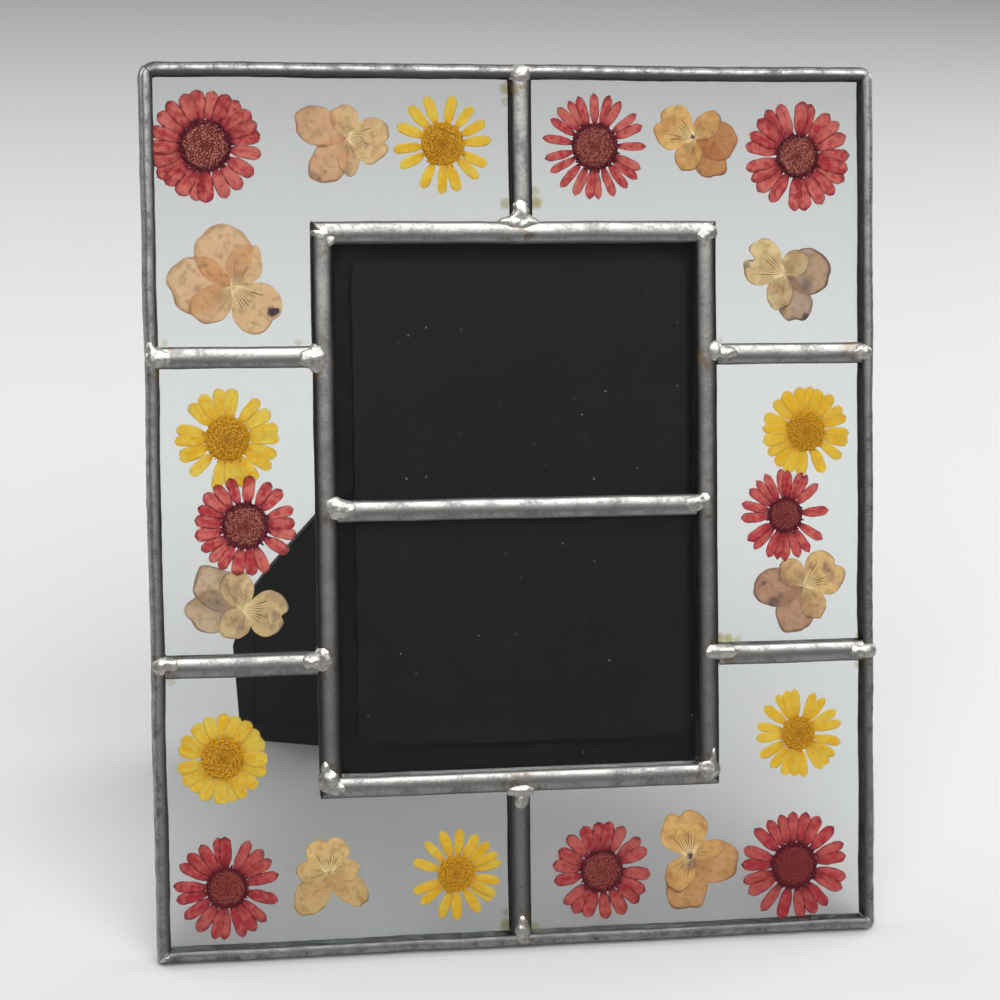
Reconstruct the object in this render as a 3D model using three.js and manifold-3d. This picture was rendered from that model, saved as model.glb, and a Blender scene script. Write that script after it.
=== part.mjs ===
// Pressed flower frame: a leaded glass picture frame whose border holds dried flowers
// between two panes, standing on a hinged easel leg. Millimetres, +Z up, front towards -Y.
//
// Everything is drawn upright in the frame's own axes: x to the right seen from the front,
// y back through the thickness from the front crest of the lead, z up from the bottom edge.
// One group then leans the whole frame back onto its open leg.
import * as THREE from "three";
import { mergeVertices } from "three/addons/utils/BufferGeometryUtils.js";
import Module from "manifold-3d";

const wasm = await Module();
wasm.setup();

// ---------------------------------------------------------------- driving dimensions
const WIDTH = 194; // over the edge lead
const HEIGHT = 233.5;
const GAP = 0.3; // left between neighbouring pieces
const FAR = 500; // past everything, for cutting
const EMBED = 0.5; // how far a joined or cutting shape runs into the next
const LEAN = THREE.MathUtils.degToRad(18); // frame's lean when it stands

const THICK = 7.4; // crest to crest of the H lead
const MID = THICK / 2;
const FACE = 5.6; // width of the H lead's face
const HEART = 1.2; // web between its two channels
const CHANNEL_FROM = 1.1; // front flange's inner face
const LIP_DROP = 0.6; // how far the dome falls from crest to lip
const EDGE_FACE = 3.6; // width of the edge lead's face
const EDGE_INSET = 0.2; // the edge lead is this much thinner on each side
const EDGE_WALL = 1.3; // its outer wall

const GLASS = 1.5; // one pane
const FRONT_GLASS_AT = CHANNEL_FROM + 0.2;
const BACK_GLASS_AT = THICK - FRONT_GLASS_AT - GLASS;
const REBATE = HEART / 2 + 0.35; // a pane's edge stops this far from a lead's centre line

// centre lines of the lead
const OPENING = { left: -51.0, right: 50.5, bottom: 44.8, top: 189.8 };
const PHOTO_BAR_AT = 117.4;
const BARS = {
  top: 1.4, bottom: -1.1, leftUpper: 157.8, leftLower: 77.7, rightUpper: 157.4, rightLower: 76.9,
};

const SOLDER = { across: 3.7, along: 4.1, rise: 1.2 }; // a lump's half sizes, and its height
const SOLDER_DEPTH = 0.9; // a lump stops here, clear of the panes
const SOLDER_INSET = 1.0; // a lump's middle, in from the end of its bar

const PETAL = 0.25; // thickness of pressed petals
const DISC = 0.95; // thickness of a pressed daisy's disc
const FRONT_LAYER = 3.15; // petals' front face, where flowers overlap: upper layer
const BACK_LAYER = 3.8; // lower layer

const BACK_PLATE = { left: -50.2, right: 49.7, bottom: 45.6, top: 189.0, corner: 5.5, thick: 1.5 };
const BACK_PLATE_AT = THICK + GAP;
const PHOTO_PAD = { left: -43.3, right: 45.6, bottom: 55.0, top: 182.0, corner: 3.3 };
const PHOTO_PAD_AT = 4.2; // leaves a slot for the photo behind the glass

const HINGE_TILT = THREE.MathUtils.degToRad(24); // hinge line, falling to the right
const OPEN_ANGLE = THREE.MathUtils.degToRad(37); // leg from the back when it stands
const HINGE_AT = new THREE.Vector3(-13.1, 11.6, 173.2); // where the foot's corner swings from
const KNUCKLE = { from: 8.1, to: 38.1, radius: 2.1 }; // the leg's barrel, along the hinge line
const EAR = { thick: 3.6, half: 3.2, rise: 2.6 };
const PIN_RADIUS = 1.0;
const PIN_INSET = 0.4; // the pin's ends, in from the ears' outer faces
const BORE_RADIUS = PIN_RADIUS + GAP;
const LEG_THICK = 3.0;
const LEG_RIM = 7.0;
const LEG_NECK = 6.0; // from the hinge line to where the leg widens
const LEG_RECESS = 0.8;
const HEEL = 3.4; // length of the bevelled heel that stops the leg

// the leg's outline: along the hinge line, then away from it
const LEG_OUTLINE = [
  [KNUCKLE.from, 0], [KNUCKLE.from, LEG_NECK], [-10.3, 87.8], [-16.6, 117], [-17.7, 124],
  [-17.0, 134], [-15.7, 147.8], [0, 185.6], [30, 172.4], [33.5, 168],
  [KNUCKLE.to, LEG_NECK], [KNUCKLE.to, 0],
];

// ---------------------------------------------------------------- finishes
const finish = (color, roughness, metalness = 0) =>
  () => new THREE.MeshStandardMaterial({ color, roughness, metalness });
const FINISH = {
  lead: finish(0x7d7c7a, 0.5, 0.85),
  red: finish(0xb03a48, 0.8),
  yellow: finish(0xe6b02c, 0.8),
  tan: finish(0xd2ae78, 0.8),
  black: finish(0x17161a, 0.55),
  steel: finish(0x9a9a9a, 0.35, 1),
  glass: () => new THREE.MeshStandardMaterial({
    color: 0xdfe9e4, roughness: 0.05, transparent: true, opacity: 0.3,
  }),
};

// ---------------------------------------------------------------- solids
function toSolid(geometry) {
  const bare = geometry.clone();
  bare.deleteAttribute("normal");
  bare.deleteAttribute("uv");
  const merged = mergeVertices(bare, 1e-5);
  const triVerts = new Uint32Array(merged.index.array);
  const vertProperties = new Float32Array(merged.attributes.position.array);
  return new wasm.Manifold(new wasm.Mesh({ numProp: 3, vertProperties, triVerts }));
}

function toGeometry(solid) {
  const { vertProperties, triVerts } = solid.getMesh();
  const geometry = new THREE.BufferGeometry();
  geometry.setAttribute("position", new THREE.BufferAttribute(new Float32Array(vertProperties), 3));
  geometry.setIndex(new THREE.BufferAttribute(new Uint32Array(triVerts), 1));
  geometry.computeVertexNormals();
  return geometry;
}

const joined = (geometries) => geometries.map(toSolid).reduce((whole, next) => whole.add(next));

// a closed outline as a shape
function outline(points) {
  return new THREE.Shape(points.map(([a, b]) => new THREE.Vector2(a, b)));
}

// an outline in the frame's face, as a slab between two depths
function slab(shape, from, to) {
  const geometry = new THREE.ExtrudeGeometry(shape, {
    depth: to - from, bevelEnabled: false, curveSegments: 3,
  });
  geometry.rotateX(Math.PI / 2);
  geometry.translate(0, to, 0);
  return geometry;
}

// a box between two corners
function block([x0, y0, z0], [x1, y1, z1]) {
  const geometry = new THREE.BoxGeometry(x1 - x0, y1 - y0, z1 - z0);
  geometry.translate((x0 + x1) / 2, (y0 + y1) / 2, (z0 + z1) / 2);
  return geometry;
}

function roundedRectangle({ left, right, bottom, top, corner }) {
  const shape = new THREE.Shape();
  shape.moveTo(left + corner, bottom);
  shape.lineTo(right - corner, bottom);
  shape.absarc(right - corner, bottom + corner, corner, -Math.PI / 2, 0);
  shape.lineTo(right, top - corner);
  shape.absarc(right - corner, top - corner, corner, 0, Math.PI / 2);
  shape.lineTo(left + corner, top);
  shape.absarc(left + corner, top - corner, corner, Math.PI / 2, Math.PI);
  shape.lineTo(left, bottom + corner);
  shape.absarc(left + corner, bottom + corner, corner, Math.PI, Math.PI * 1.5);
  return shape;
}

const model = new THREE.Group();
const upright = new THREE.Group();
model.add(upright);

function add(name, geometry, finishOf, parent = upright) {
  const mesh = new THREE.Mesh(geometry, finishOf());
  mesh.name = name;
  parent.add(mesh);
  return mesh;
}

// ---------------------------------------------------------------- lead sections
// Sections are drawn as (across, depth); half of the dome is listed and mirrored.
function domedSection(face, backTo) {
  const half = face / 2;
  const dome = [[half, LIP_DROP], [half * 0.7, LIP_DROP * 0.4], [half * 0.3, 0]];
  const mirrored = dome.map(([across, depth]) => [-across, depth]).reverse();
  const front = [...dome, ...mirrored];
  const web = HEART / 2;
  if (backTo === undefined) {
    const back = front.map(([across, depth]) => [-across, THICK - depth]);
    const channels = (side) => [
      [side * half, CHANNEL_FROM], [side * web, CHANNEL_FROM],
      [side * web, THICK - CHANNEL_FROM], [side * half, THICK - CHANNEL_FROM],
    ];
    return outline([...front, ...channels(-1), ...back, ...channels(1).reverse()]);
  }
  return outline([
    ...front, [-half, CHANNEL_FROM], [-web, CHANNEL_FROM], [-web, backTo],
    [web, backTo], [web, CHANNEL_FROM], [half, CHANNEL_FROM],
  ]);
}

// The edge lead is a U whose outer wall is crowned: one facet of the crown has the slope
// of the lean, so that the standing frame rests on a flat.
function edgeSection() {
  const crown = 0.6; // half of the flat between the facets
  const facet = 2.2; // depth of each facet
  const shoulder = 1.6;
  const lip = { round: 0.7, drop: 0.3 };
  const rear = THICK - EDGE_INSET;
  const inner = THICK - CHANNEL_FROM;
  const half = [
    [0, MID + crown], [facet * Math.tan(LEAN), MID + crown + facet], [shoulder, rear],
    [EDGE_FACE - lip.round, rear], [EDGE_FACE, rear - lip.drop], [EDGE_FACE, inner],
    [EDGE_WALL, inner],
  ];
  const mirrored = half.map(([across, depth]) => [across, THICK - depth]).reverse();
  return outline([...half, ...mirrored]);
}

// A length of lead along z. Each end is square, or mitred by a slope of z against across.
function leadStrip(section, length, startSlope = 0, endSlope = 0) {
  const geometry = new THREE.ExtrudeGeometry(section, { depth: length, bevelEnabled: false, steps: 1 });
  const position = geometry.attributes.position;
  for (let i = 0; i < position.count; i += 1) {
    const atEnd = position.getZ(i) > length / 2;
    const slope = atEnd ? endSlope : startSlope;
    position.setZ(i, position.getZ(i) + slope * position.getX(i));
  }
  return geometry;
}

// ---------------------------------------------------------------- solder
// A flattened lump on the lead's face at one end of a strip. keepOut is what lies beyond
// the strip's end, which the lump only covers as a thin cap.
function solderLump(z, keepOut, onBack = false) {
  const lump = new THREE.SphereGeometry(1, 6, 4);
  lump.scale(SOLDER.across, SOLDER.rise + SOLDER_DEPTH, SOLDER.along);
  lump.translate(0, SOLDER_DEPTH, z);
  const kept = block([-FAR, -FAR, -FAR], [FAR, SOLDER_DEPTH, FAR]);
  const shaped = toSolid(lump).intersect(toSolid(kept)).subtract(keepOut);
  if (!onBack) return shaped;
  return shaped.mirror([0, 1, 0]).translate([0, THICK, 0]);
}

// A strip between two crossing leads, with solder at both ends.
function solderedBar(section, length, faces) {
  const solid = toSolid(leadStrip(section, length));
  const beyondStart = toSolid(block([-FAR, -GAP, -FAR], [FAR, THICK, 0]));
  const beyondEnd = toSolid(block([-FAR, -GAP, length], [FAR, THICK, FAR]));
  return faces.reduce(
    (whole, onBack) => whole
      .add(solderLump(SOLDER_INSET, beyondStart, onBack))
      .add(solderLump(length - SOLDER_INSET, beyondEnd, onBack)),
    solid,
  );
}

// A mitred strip with a lump over each mitre.
function solderedMitreStrip(section, length, faces) {
  const solid = toSolid(leadStrip(section, length, -1, 1));
  const beyondStart = block([-FAR, -GAP, -FAR], [FAR, THICK, 0]).rotateY(Math.PI / 4);
  const beyondEnd = block([-FAR, -GAP, 0], [FAR, THICK, FAR]).rotateY(-Math.PI / 4);
  beyondEnd.translate(0, 0, length);
  return faces.reduce(
    (whole, onBack) => whole
      .add(solderLump(0, toSolid(beyondStart), onBack))
      .add(solderLump(length, toSolid(beyondEnd), onBack)),
    solid,
  );
}

// ---------------------------------------------------------------- placing strips
// along "up" keeps z; along "right" lays z on x. The open side of an edge lead is +across.
function placeStrip(mesh, along, centre, from) {
  if (along === "up") mesh.position.set(centre, 0, from);
  if (along === "right") {
    mesh.rotation.y = Math.PI / 2;
    mesh.position.set(from, 0, centre);
  }
  return mesh;
}

function edgeLead() {
  const section = edgeSection();
  const side = (name, length, turn, x, z) => {
    const trimmed = length - GAP;
    const mesh = add(name, leadStrip(section, trimmed, 1, -1), FINISH.lead);
    mesh.rotation.y = turn;
    mesh.position.set(x, 0, z);
    return mesh;
  };
  const half = GAP / 2;
  side("edge_lead_left", HEIGHT, 0, -WIDTH / 2, half);
  side("edge_lead_right", HEIGHT, Math.PI, WIDTH / 2, HEIGHT - half);
  side("edge_lead_top", WIDTH, Math.PI / 2, -WIDTH / 2 + half, HEIGHT);
  side("edge_lead_bottom", WIDTH, -Math.PI / 2, WIDTH / 2 - half, 0);
}

function openingLead() {
  const section = domedSection(FACE);
  const wide = OPENING.right - OPENING.left;
  const tall = OPENING.top - OPENING.bottom;
  const half = GAP / 2;
  const horizontal = toGeometry(solderedMitreStrip(section, wide - GAP, [false, true]));
  const lower = horizontal.clone();
  const upper = horizontal.clone().rotateZ(Math.PI).translate(0, THICK, 0);
  const place = (name, geometry, along, centre, from) => {
    placeStrip(add(name, geometry, FINISH.lead), along, centre, from + half);
  };
  place("opening_lead_bottom", lower, "right", OPENING.bottom, OPENING.left);
  place("opening_lead_top", upper, "right", OPENING.top, OPENING.left);
  const vertical = leadStrip(section, tall - GAP, -1, 1);
  const right = vertical.clone();
  const left = vertical.clone().rotateZ(Math.PI).translate(0, THICK, 0);
  place("opening_lead_left", left, "up", OPENING.left, OPENING.bottom);
  place("opening_lead_right", right, "up", OPENING.right, OPENING.bottom);
}

// Cross bars run from the edge lead's lips to the opening lead's lips.
function crossBars() {
  const section = domedSection(FACE);
  const lip = FACE / 2 + GAP;
  const edge = EDGE_FACE + GAP;
  const run = (name, along, centre, from, to) => {
    const geometry = toGeometry(solderedBar(section, to - from, [false, true]));
    placeStrip(add(name, geometry, FINISH.lead), along, centre, from);
  };
  run("bar_top", "up", BARS.top, OPENING.top + lip, HEIGHT - edge);
  run("bar_bottom", "up", BARS.bottom, edge, OPENING.bottom - lip);
  run("bar_left_upper", "right", BARS.leftUpper, -WIDTH / 2 + edge, OPENING.left - lip);
  run("bar_left_lower", "right", BARS.leftLower, -WIDTH / 2 + edge, OPENING.left - lip);
  run("bar_right_upper", "right", BARS.rightUpper, OPENING.right + lip, WIDTH / 2 - edge);
  run("bar_right_lower", "right", BARS.rightLower, OPENING.right + lip, WIDTH / 2 - edge);
}

// The bar over the photo window has no rear flange, so a photo slides behind it.
function photoBar() {
  const section = domedSection(FACE, FRONT_GLASS_AT + GLASS);
  const from = OPENING.left + FACE / 2 + GAP;
  const to = OPENING.right - FACE / 2 - GAP;
  const geometry = toGeometry(solderedBar(section, to - from, [false]));
  placeStrip(add("photo_bar", geometry, FINISH.lead), "right", PHOTO_BAR_AT, from);
}

// ---------------------------------------------------------------- glass
const PANE = {
  left: -WIDTH / 2 + EDGE_WALL + GAP,
  right: WIDTH / 2 - EDGE_WALL - GAP,
  bottom: EDGE_WALL + GAP,
  top: HEIGHT - EDGE_WALL - GAP,
};

// A corner cell is an L round one corner of the opening, from a corner of the frame to the
// lead on its other sides: a bar above or below the opening, one beside it, and the opening's.
function cornerCell([x, z], [barX, barZ], [openingX, openingZ]) {
  const right = Math.sign(x) * REBATE;
  const up = Math.sign(z - HEIGHT / 2) * REBATE;
  return outline([
    [x, z], [barX + right, z], [barX + right, openingZ + up],
    [openingX + right, openingZ + up], [openingX + right, barZ + up], [x, barZ + up],
  ]);
}

function sideCell(left, right, bottom, top) {
  return outline([[left, bottom], [right, bottom], [right, top], [left, top]]);
}

const CELLS = {
  top_left: cornerCell(
    [PANE.left, PANE.top], [BARS.top, BARS.leftUpper], [OPENING.left, OPENING.top],
  ),
  top_right: cornerCell(
    [PANE.right, PANE.top], [BARS.top, BARS.rightUpper], [OPENING.right, OPENING.top],
  ),
  bottom_left: cornerCell(
    [PANE.left, PANE.bottom], [BARS.bottom, BARS.leftLower], [OPENING.left, OPENING.bottom],
  ),
  bottom_right: cornerCell(
    [PANE.right, PANE.bottom], [BARS.bottom, BARS.rightLower], [OPENING.right, OPENING.bottom],
  ),
  middle_left: sideCell(
    PANE.left, OPENING.left - REBATE, BARS.leftLower + REBATE, BARS.leftUpper - REBATE,
  ),
  middle_right: sideCell(
    OPENING.right + REBATE, PANE.right, BARS.rightLower + REBATE, BARS.rightUpper - REBATE,
  ),
};

function flowerGlass() {
  for (const [place, shape] of Object.entries(CELLS)) {
    add(`front_glass_${place}`, slab(shape, FRONT_GLASS_AT, FRONT_GLASS_AT + GLASS), FINISH.glass);
    add(`back_glass_${place}`, slab(shape, BACK_GLASS_AT, BACK_GLASS_AT + GLASS), FINISH.glass);
  }
}

function photoGlass() {
  const left = OPENING.left + REBATE;
  const right = OPENING.right - REBATE;
  const upper = sideCell(left, right, PHOTO_BAR_AT + REBATE, OPENING.top - REBATE);
  const lower = sideCell(left, right, OPENING.bottom + REBATE, PHOTO_BAR_AT - REBATE);
  const rear = FRONT_GLASS_AT + GLASS;
  add("photo_glass_upper", slab(upper, FRONT_GLASS_AT, rear), FINISH.glass);
  add("photo_glass_lower", slab(lower, FRONT_GLASS_AT, rear), FINISH.glass);
}

// ---------------------------------------------------------------- pressed flowers
const polar = (radius, degrees) => {
  const angle = THREE.MathUtils.degToRad(degrees);
  return [radius * Math.cos(angle), radius * Math.sin(angle)];
};

// A daisy's outline: each petal has a shoulder, a tip and a shoulder, or a blunt end if it
// is wide. One valley parts it from the next, which is deep where the petals stand apart.
// Shares are of the reach, or of the angle to the next petal.
const DAISY = { bluntFrom: 3.2, bluntEnd: 0.96, shoulder: 0.82, overlap: 0.86, half: 0.38 };

function daisyOutline({ petals, reach, petalWidth, disc }) {
  const blunt = petalWidth > DAISY.bluntFrom;
  const shoulderAt = (blunt ? DAISY.bluntEnd : DAISY.shoulder) * reach;
  const halfPetal = THREE.MathUtils.radToDeg(Math.asin(petalWidth / 2 / reach));
  const order = [...petals].sort((a, b) => a - b);
  return outline(order.flatMap((angle, i) => {
    const next = i + 1 < order.length ? order[i + 1] : order[0] + 360;
    const previous = i > 0 ? order[i - 1] : order[order.length - 1] - 360;
    const toLeft = Math.min(halfPetal, DAISY.half * (next - angle));
    const toRight = Math.min(halfPetal, DAISY.half * (angle - previous));
    const room = (next - angle) / 2 / halfPetal;
    const root = disc + GAP;
    const valley = room > 1 ? root : THREE.MathUtils.lerp(DAISY.overlap * reach, root, room ** 4);
    const tip = blunt ? [] : [polar(reach, angle)];
    return [
      polar(shoulderAt, angle - toRight), ...tip,
      polar(shoulderAt, angle + toLeft), polar(valley, (angle + next) / 2),
    ];
  }));
}

function daisy(name, finishOf, spec) {
  const disc = new THREE.CylinderGeometry(spec.disc, spec.disc, DISC, 13);
  disc.translate(0, PETAL / 2, 0);
  const solid = joined([slab(daisyOutline(spec), 0, PETAL), disc]);
  const mesh = add(name, toGeometry(solid), finishOf);
  mesh.position.set(spec.x, spec.layer ?? FRONT_LAYER, spec.z);
}

// A viola petal, narrow at the eye and rounded at the tip: share of length, share of half width.
const VIOLA_PETAL = [[0, 0.12], [0.35, 0.62], [0.66, 1], [0.9, 0.74], [1, 0.26]];

function viola(name, { x, z, layer = FRONT_LAYER, petals }) {
  const petalSlab = ([angle, length, width]) => {
    const side = VIOLA_PETAL.map(([along, across]) => [along * length, (across * width) / 2]);
    const other = side.map(([along, across]) => [along, -across]).reverse();
    const geometry = slab(outline([...other.reverse(), ...side.reverse()]), 0, PETAL);
    geometry.rotateY(-THREE.MathUtils.degToRad(angle));
    return geometry;
  };
  const mesh = add(name, toGeometry(joined(petals.map(petalSlab))), FINISH.tan);
  mesh.position.set(x, layer, z);
}

// Petal angles are in degrees from the right, anticlockwise seen from the front.
const RED_DAISIES = [
  { x: -80.3, z: 212.0, reach: 14.5, petalWidth: 4.0, disc: 7.0,
    petals: [
      98, 111, 80, 66, 53, 36, 24, 11, -9, -31, -50, -68, -90, -101, -118, -136, -148, -163, -178,
      163, 146, 131,
    ] },
  { x: 21.3, z: 212.2, reach: 13.9, petalWidth: 2.5, disc: 6.5,
    petals: [
      90, 108, 121, 134, 150, 170, -167, -150, -131, -114, -96, -87, -70, -52, -37, -25, 1, 24, 38,
      60, 72,
    ] },
  { x: 76.2, z: 209.9, reach: 14.6, petalWidth: 3.8, disc: 6.1,
    petals: [
      85, 74, 109, 126, 138, 155, 170, -167, -153, -140, -120, -94, -82, -63, -46, -27, -15, 0, 21,
      39, 53,
    ] },
  { x: -72.0, z: 114.1, reach: 13.3, petalWidth: 3.3, disc: 6.4,
    petals: [106, 84, 59, 43, 18, 3, -11, -34, -66, -82, -101, -121, -136, -151, -170, 173, 157, 142, 125] },
  { x: 72.4, z: 113.9, reach: 12.4, petalWidth: 2.7, disc: 5.0,
    petals: [95, 86, 69, 60, 43, 5, -34, -56, -73, -89, -102, -113, -134, -148, -177, 164, 145, 130, 116] },
  { x: -78.6, z: 19.2, reach: 13.8, petalWidth: 3.4, disc: 5.7,
    petals: [91, 99, 120, 136, 151, 176, -167, -146, -124, -105, -94, -73, -58, -43, -17, 12, 31, 44, 64] },
  { x: 21.2, z: 19.2, reach: 13.5, petalWidth: 3.6, disc: 6.1,
    petals: [94, 81, 112, 132, 154, 170, -170, -141, -125, -109, -86, -63, -41, -28, -7, 24, 39, 62] },
  { x: 74.4, z: 18.3, reach: 15.0, petalWidth: 3.4, disc: 6.7,
    petals: [
      91, 75, 62, 42, 22, 8, -16, -28, -52, -67, -82, -105, -127, -150, -165, 176, 161, 136, 119,
      105,
    ] },
];
const YELLOW_DAISIES = [
  { x: -19.0, z: 212.7, reach: 12.9, petalWidth: 2.9, disc: 5.9,
    petals: [108, 132, 158, -174, -152, -117, -91, -73, -44, -26, 4, 26, 51, 77] },
  { x: -76.2, z: 136.7, reach: 13.5, petalWidth: 3.5, disc: 6.0, layer: BACK_LAYER,
    petals: [100, 84, 119, 137, 168, -178, -158, -135, -105, -86, -70, -57, -34, -19, -1, 11, 32, 52] },
  { x: 78.4, z: 136.3, reach: 12.2, petalWidth: 3.3, disc: 5.5, layer: BACK_LAYER,
    petals: [99, 119, 135, 160, 176, -168, -151, -132, -116, -97, -67, -37, -15, -3, 19, 33, 52, 71, 84] },
  { x: -79.1, z: 53.3, reach: 11.9, petalWidth: 3.8, disc: 5.8,
    petals: [88, 70, 52, 35, 19, -3, -20, -41, -63, -78, -94, -116, -136, -150, -168, 164, 151, 128, 108] },
  { x: -18.2, z: 20.1, reach: 12.4, petalWidth: 2.7, disc: 5.1,
    petals: [107, 83, 132, 162, -159, -141, -110, -90, -61, -38, -30, -12, 12, 25, 42, 60] },
  { x: 75.7, z: 54.5, reach: 12.2, petalWidth: 2.8, disc: 4.9,
    petals: [95, 105, 119, 140, 167, -175, -150, -128, -111, -95, -81, -57, -46, -33, -14, 13, 30, 52, 68] },
];
// Viola petals: angle, length from the eye, width. Lip, two sides, two backs.
const VIOLAS = [
  { x: -43.4, z: 214.4,
    petals: [[-8, 10.8, 12.2], [102, 8.5, 7], [-90, 10, 5.8], [160, 15, 10], [-130, 14.5, 9.7]] },
  { x: -73.7, z: 175.4,
    petals: [[-40, 13.8, 13.8], [65, 12.3, 9.3], [-146, 13, 9.5], [106, 17, 15], [172, 17.5, 15]] },
  { x: 47.5, z: 214.6,
    petals: [[153, 10.5, 12.3], [40, 9.4, 6.5], [-103, 9, 7.2], [-7, 12.3, 10.5], [-51, 12.6, 8.7]] },
  { x: 71.9, z: 178.8,
    petals: [[154, 11.5, 12.6], [36, 8.2, 6.9], [-99, 10, 7.3], [4, 13.4, 12.6], [-66, 14.2, 9.6]] },
  { x: -72.5, z: 92.3, layer: BACK_LAYER,
    petals: [[-12, 10.9, 12.3], [109, 10.7, 8.8], [-125, 8.6, 8.4], [143, 16, 10.5], [-177, 15.3, 11.5]] },
  { x: 78.1, z: 94.8, layer: BACK_LAYER,
    petals: [[32, 11.2, 12.8], [137, 9.3, 7], [-66, 9.9, 7], [-177, 14.3, 10.8], [-112, 13.7, 10.8]] },
  { x: -51.9, z: 22.4,
    petals: [[93, 9.2, 11.6], [180, 8.6, 6.3], [2, 8.3, 6], [-125, 13.5, 8.8], [-42, 13, 7.7]] },
  { x: 45.5, z: 22.4,
    petals: [[105, 12.6, 13.2], [-120, 10.6, 8.2], [15, 9, 5.5], [-16, 13.9, 12.3], [-96, 15.3, 11.5]] },
];

function flowers() {
  RED_DAISIES.forEach((spec, i) => daisy(`red_daisy_${i + 1}`, FINISH.red, spec));
  YELLOW_DAISIES.forEach((spec, i) => daisy(`yellow_daisy_${i + 1}`, FINISH.yellow, spec));
  VIOLAS.forEach((spec, i) => viola(`viola_${i + 1}`, spec));
}

// ---------------------------------------------------------------- back, hinge and leg
// The hinge group's x runs along the hinge line, its z points away from the leg's foot
// and its y back, so that the folded leg hangs along -z.
function hingeGroup() {
  const group = new THREE.Group();
  group.position.copy(HINGE_AT);
  group.rotation.y = HINGE_TILT;
  upright.add(group);
  group.updateMatrix();
  return group;
}

const alongHinge = (radius, from, to, sides) => {
  const geometry = new THREE.CylinderGeometry(radius, radius, to - from, sides);
  geometry.rotateZ(Math.PI / 2);
  geometry.translate((from + to) / 2, 0, 0);
  return geometry;
};

function hingeEar(from) {
  const foot = block(
    [from, BACK_PLATE_AT + BACK_PLATE.thick - EMBED - HINGE_AT.y, -EAR.half],
    [from + EAR.thick, 0, EAR.half],
  );
  const round = alongHinge(EAR.rise, from, from + EAR.thick, 8);
  const bore = alongHinge(BORE_RADIUS, from - EMBED, from + EAR.thick + EMBED, 8);
  return joined([foot, round]).subtract(toSolid(bore));
}

function backingPanel(hinge) {
  const rear = BACK_PLATE_AT + BACK_PLATE.thick;
  const plate = slab(roundedRectangle(BACK_PLATE), BACK_PLATE_AT, rear);
  const pad = slab(roundedRectangle(PHOTO_PAD), PHOTO_PAD_AT, BACK_PLATE_AT + EMBED);
  const ears = [KNUCKLE.from - GAP - EAR.thick, KNUCKLE.to + GAP].map(hingeEar);
  const ridge = ears[0].add(ears[1]).transform(hinge.matrix.elements);
  add("backing_panel", toGeometry(joined([plate, pad]).add(ridge)), FINISH.black);
}

function hingePin(hinge) {
  const from = KNUCKLE.from - GAP - EAR.thick + PIN_INSET;
  const to = KNUCKLE.to + GAP + EAR.thick - PIN_INSET;
  add("hinge_pin", alongHinge(PIN_RADIUS, from, to, 12), FINISH.steel, hinge);
}

// The leg is drawn folded, then swung open about the hinge line. Its heel is bevelled at
// the open angle, so that it lands flat on the back and stops the leg.
function easelLeg(hinge) {
  const half = LEG_THICK / 2;
  const folded = LEG_OUTLINE.map(([along, away]) => [along, -away]);
  const plate = slab(outline(folded), -half, half);
  const corners = folded.map(([along, z]) => new THREE.Vector2(along, z));
  const centre = corners.reduce((sum, corner) => sum.add(corner), new THREE.Vector2());
  centre.divideScalar(corners.length);
  const cornerReach = 1.35; // a corner's diagonal is this much longer than the rim is wide
  const inner = folded.filter(([, z]) => z < -LEG_NECK - LEG_RIM / 2).map(([along, z]) => {
    const inward = new THREE.Vector2(centre.x - along, centre.y - z).setLength(LEG_RIM * cornerReach);
    return [along + inward.x, z + inward.y];
  });
  const recess = slab(outline(inner), -half - EMBED, -half + LEG_RECESS);
  const barrel = alongHinge(KNUCKLE.radius, KNUCKLE.from, KNUCKLE.to, 12);
  const heelSide = (away, back) => [back, -away];
  const [sin, cos] = [Math.sin(OPEN_ANGLE), Math.cos(OPEN_ANGLE)];
  const heel = new THREE.ExtrudeGeometry(outline([
    heelSide(0, 0),
    heelSide(-KNUCKLE.radius * sin, -KNUCKLE.radius * cos),
    heelSide(-KNUCKLE.radius * sin - HEEL * cos, -KNUCKLE.radius * cos + HEEL * sin),
    heelSide(-KNUCKLE.radius * sin - HEEL * cos, half),
    heelSide(0, half),
  ]), { depth: KNUCKLE.to - KNUCKLE.from, bevelEnabled: false });
  // section axes (back, up) and its run onto the hinge group's (y, z) and x
  heel.applyMatrix4(new THREE.Matrix4().makeBasis(
    new THREE.Vector3(0, 1, 0), new THREE.Vector3(0, 0, 1), new THREE.Vector3(1, 0, 0),
  ));
  heel.translate(KNUCKLE.from, 0, 0);
  const bore = alongHinge(BORE_RADIUS, KNUCKLE.from - EMBED, KNUCKLE.to + EMBED, 12);
  const leg = joined([plate, barrel, heel]).subtract(toSolid(recess)).subtract(toSolid(bore));
  const mesh = add("easel_leg", toGeometry(leg), FINISH.black, hinge);
  mesh.rotation.x = OPEN_ANGLE;
  return mesh;
}

// ---------------------------------------------------------------- assembly
edgeLead();
openingLead();
crossBars();
photoBar();
flowerGlass();
photoGlass();
flowers();
const hinge = hingeGroup();
backingPanel(hinge);
hingePin(hinge);
const leg = easelLeg(hinge);

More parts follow.
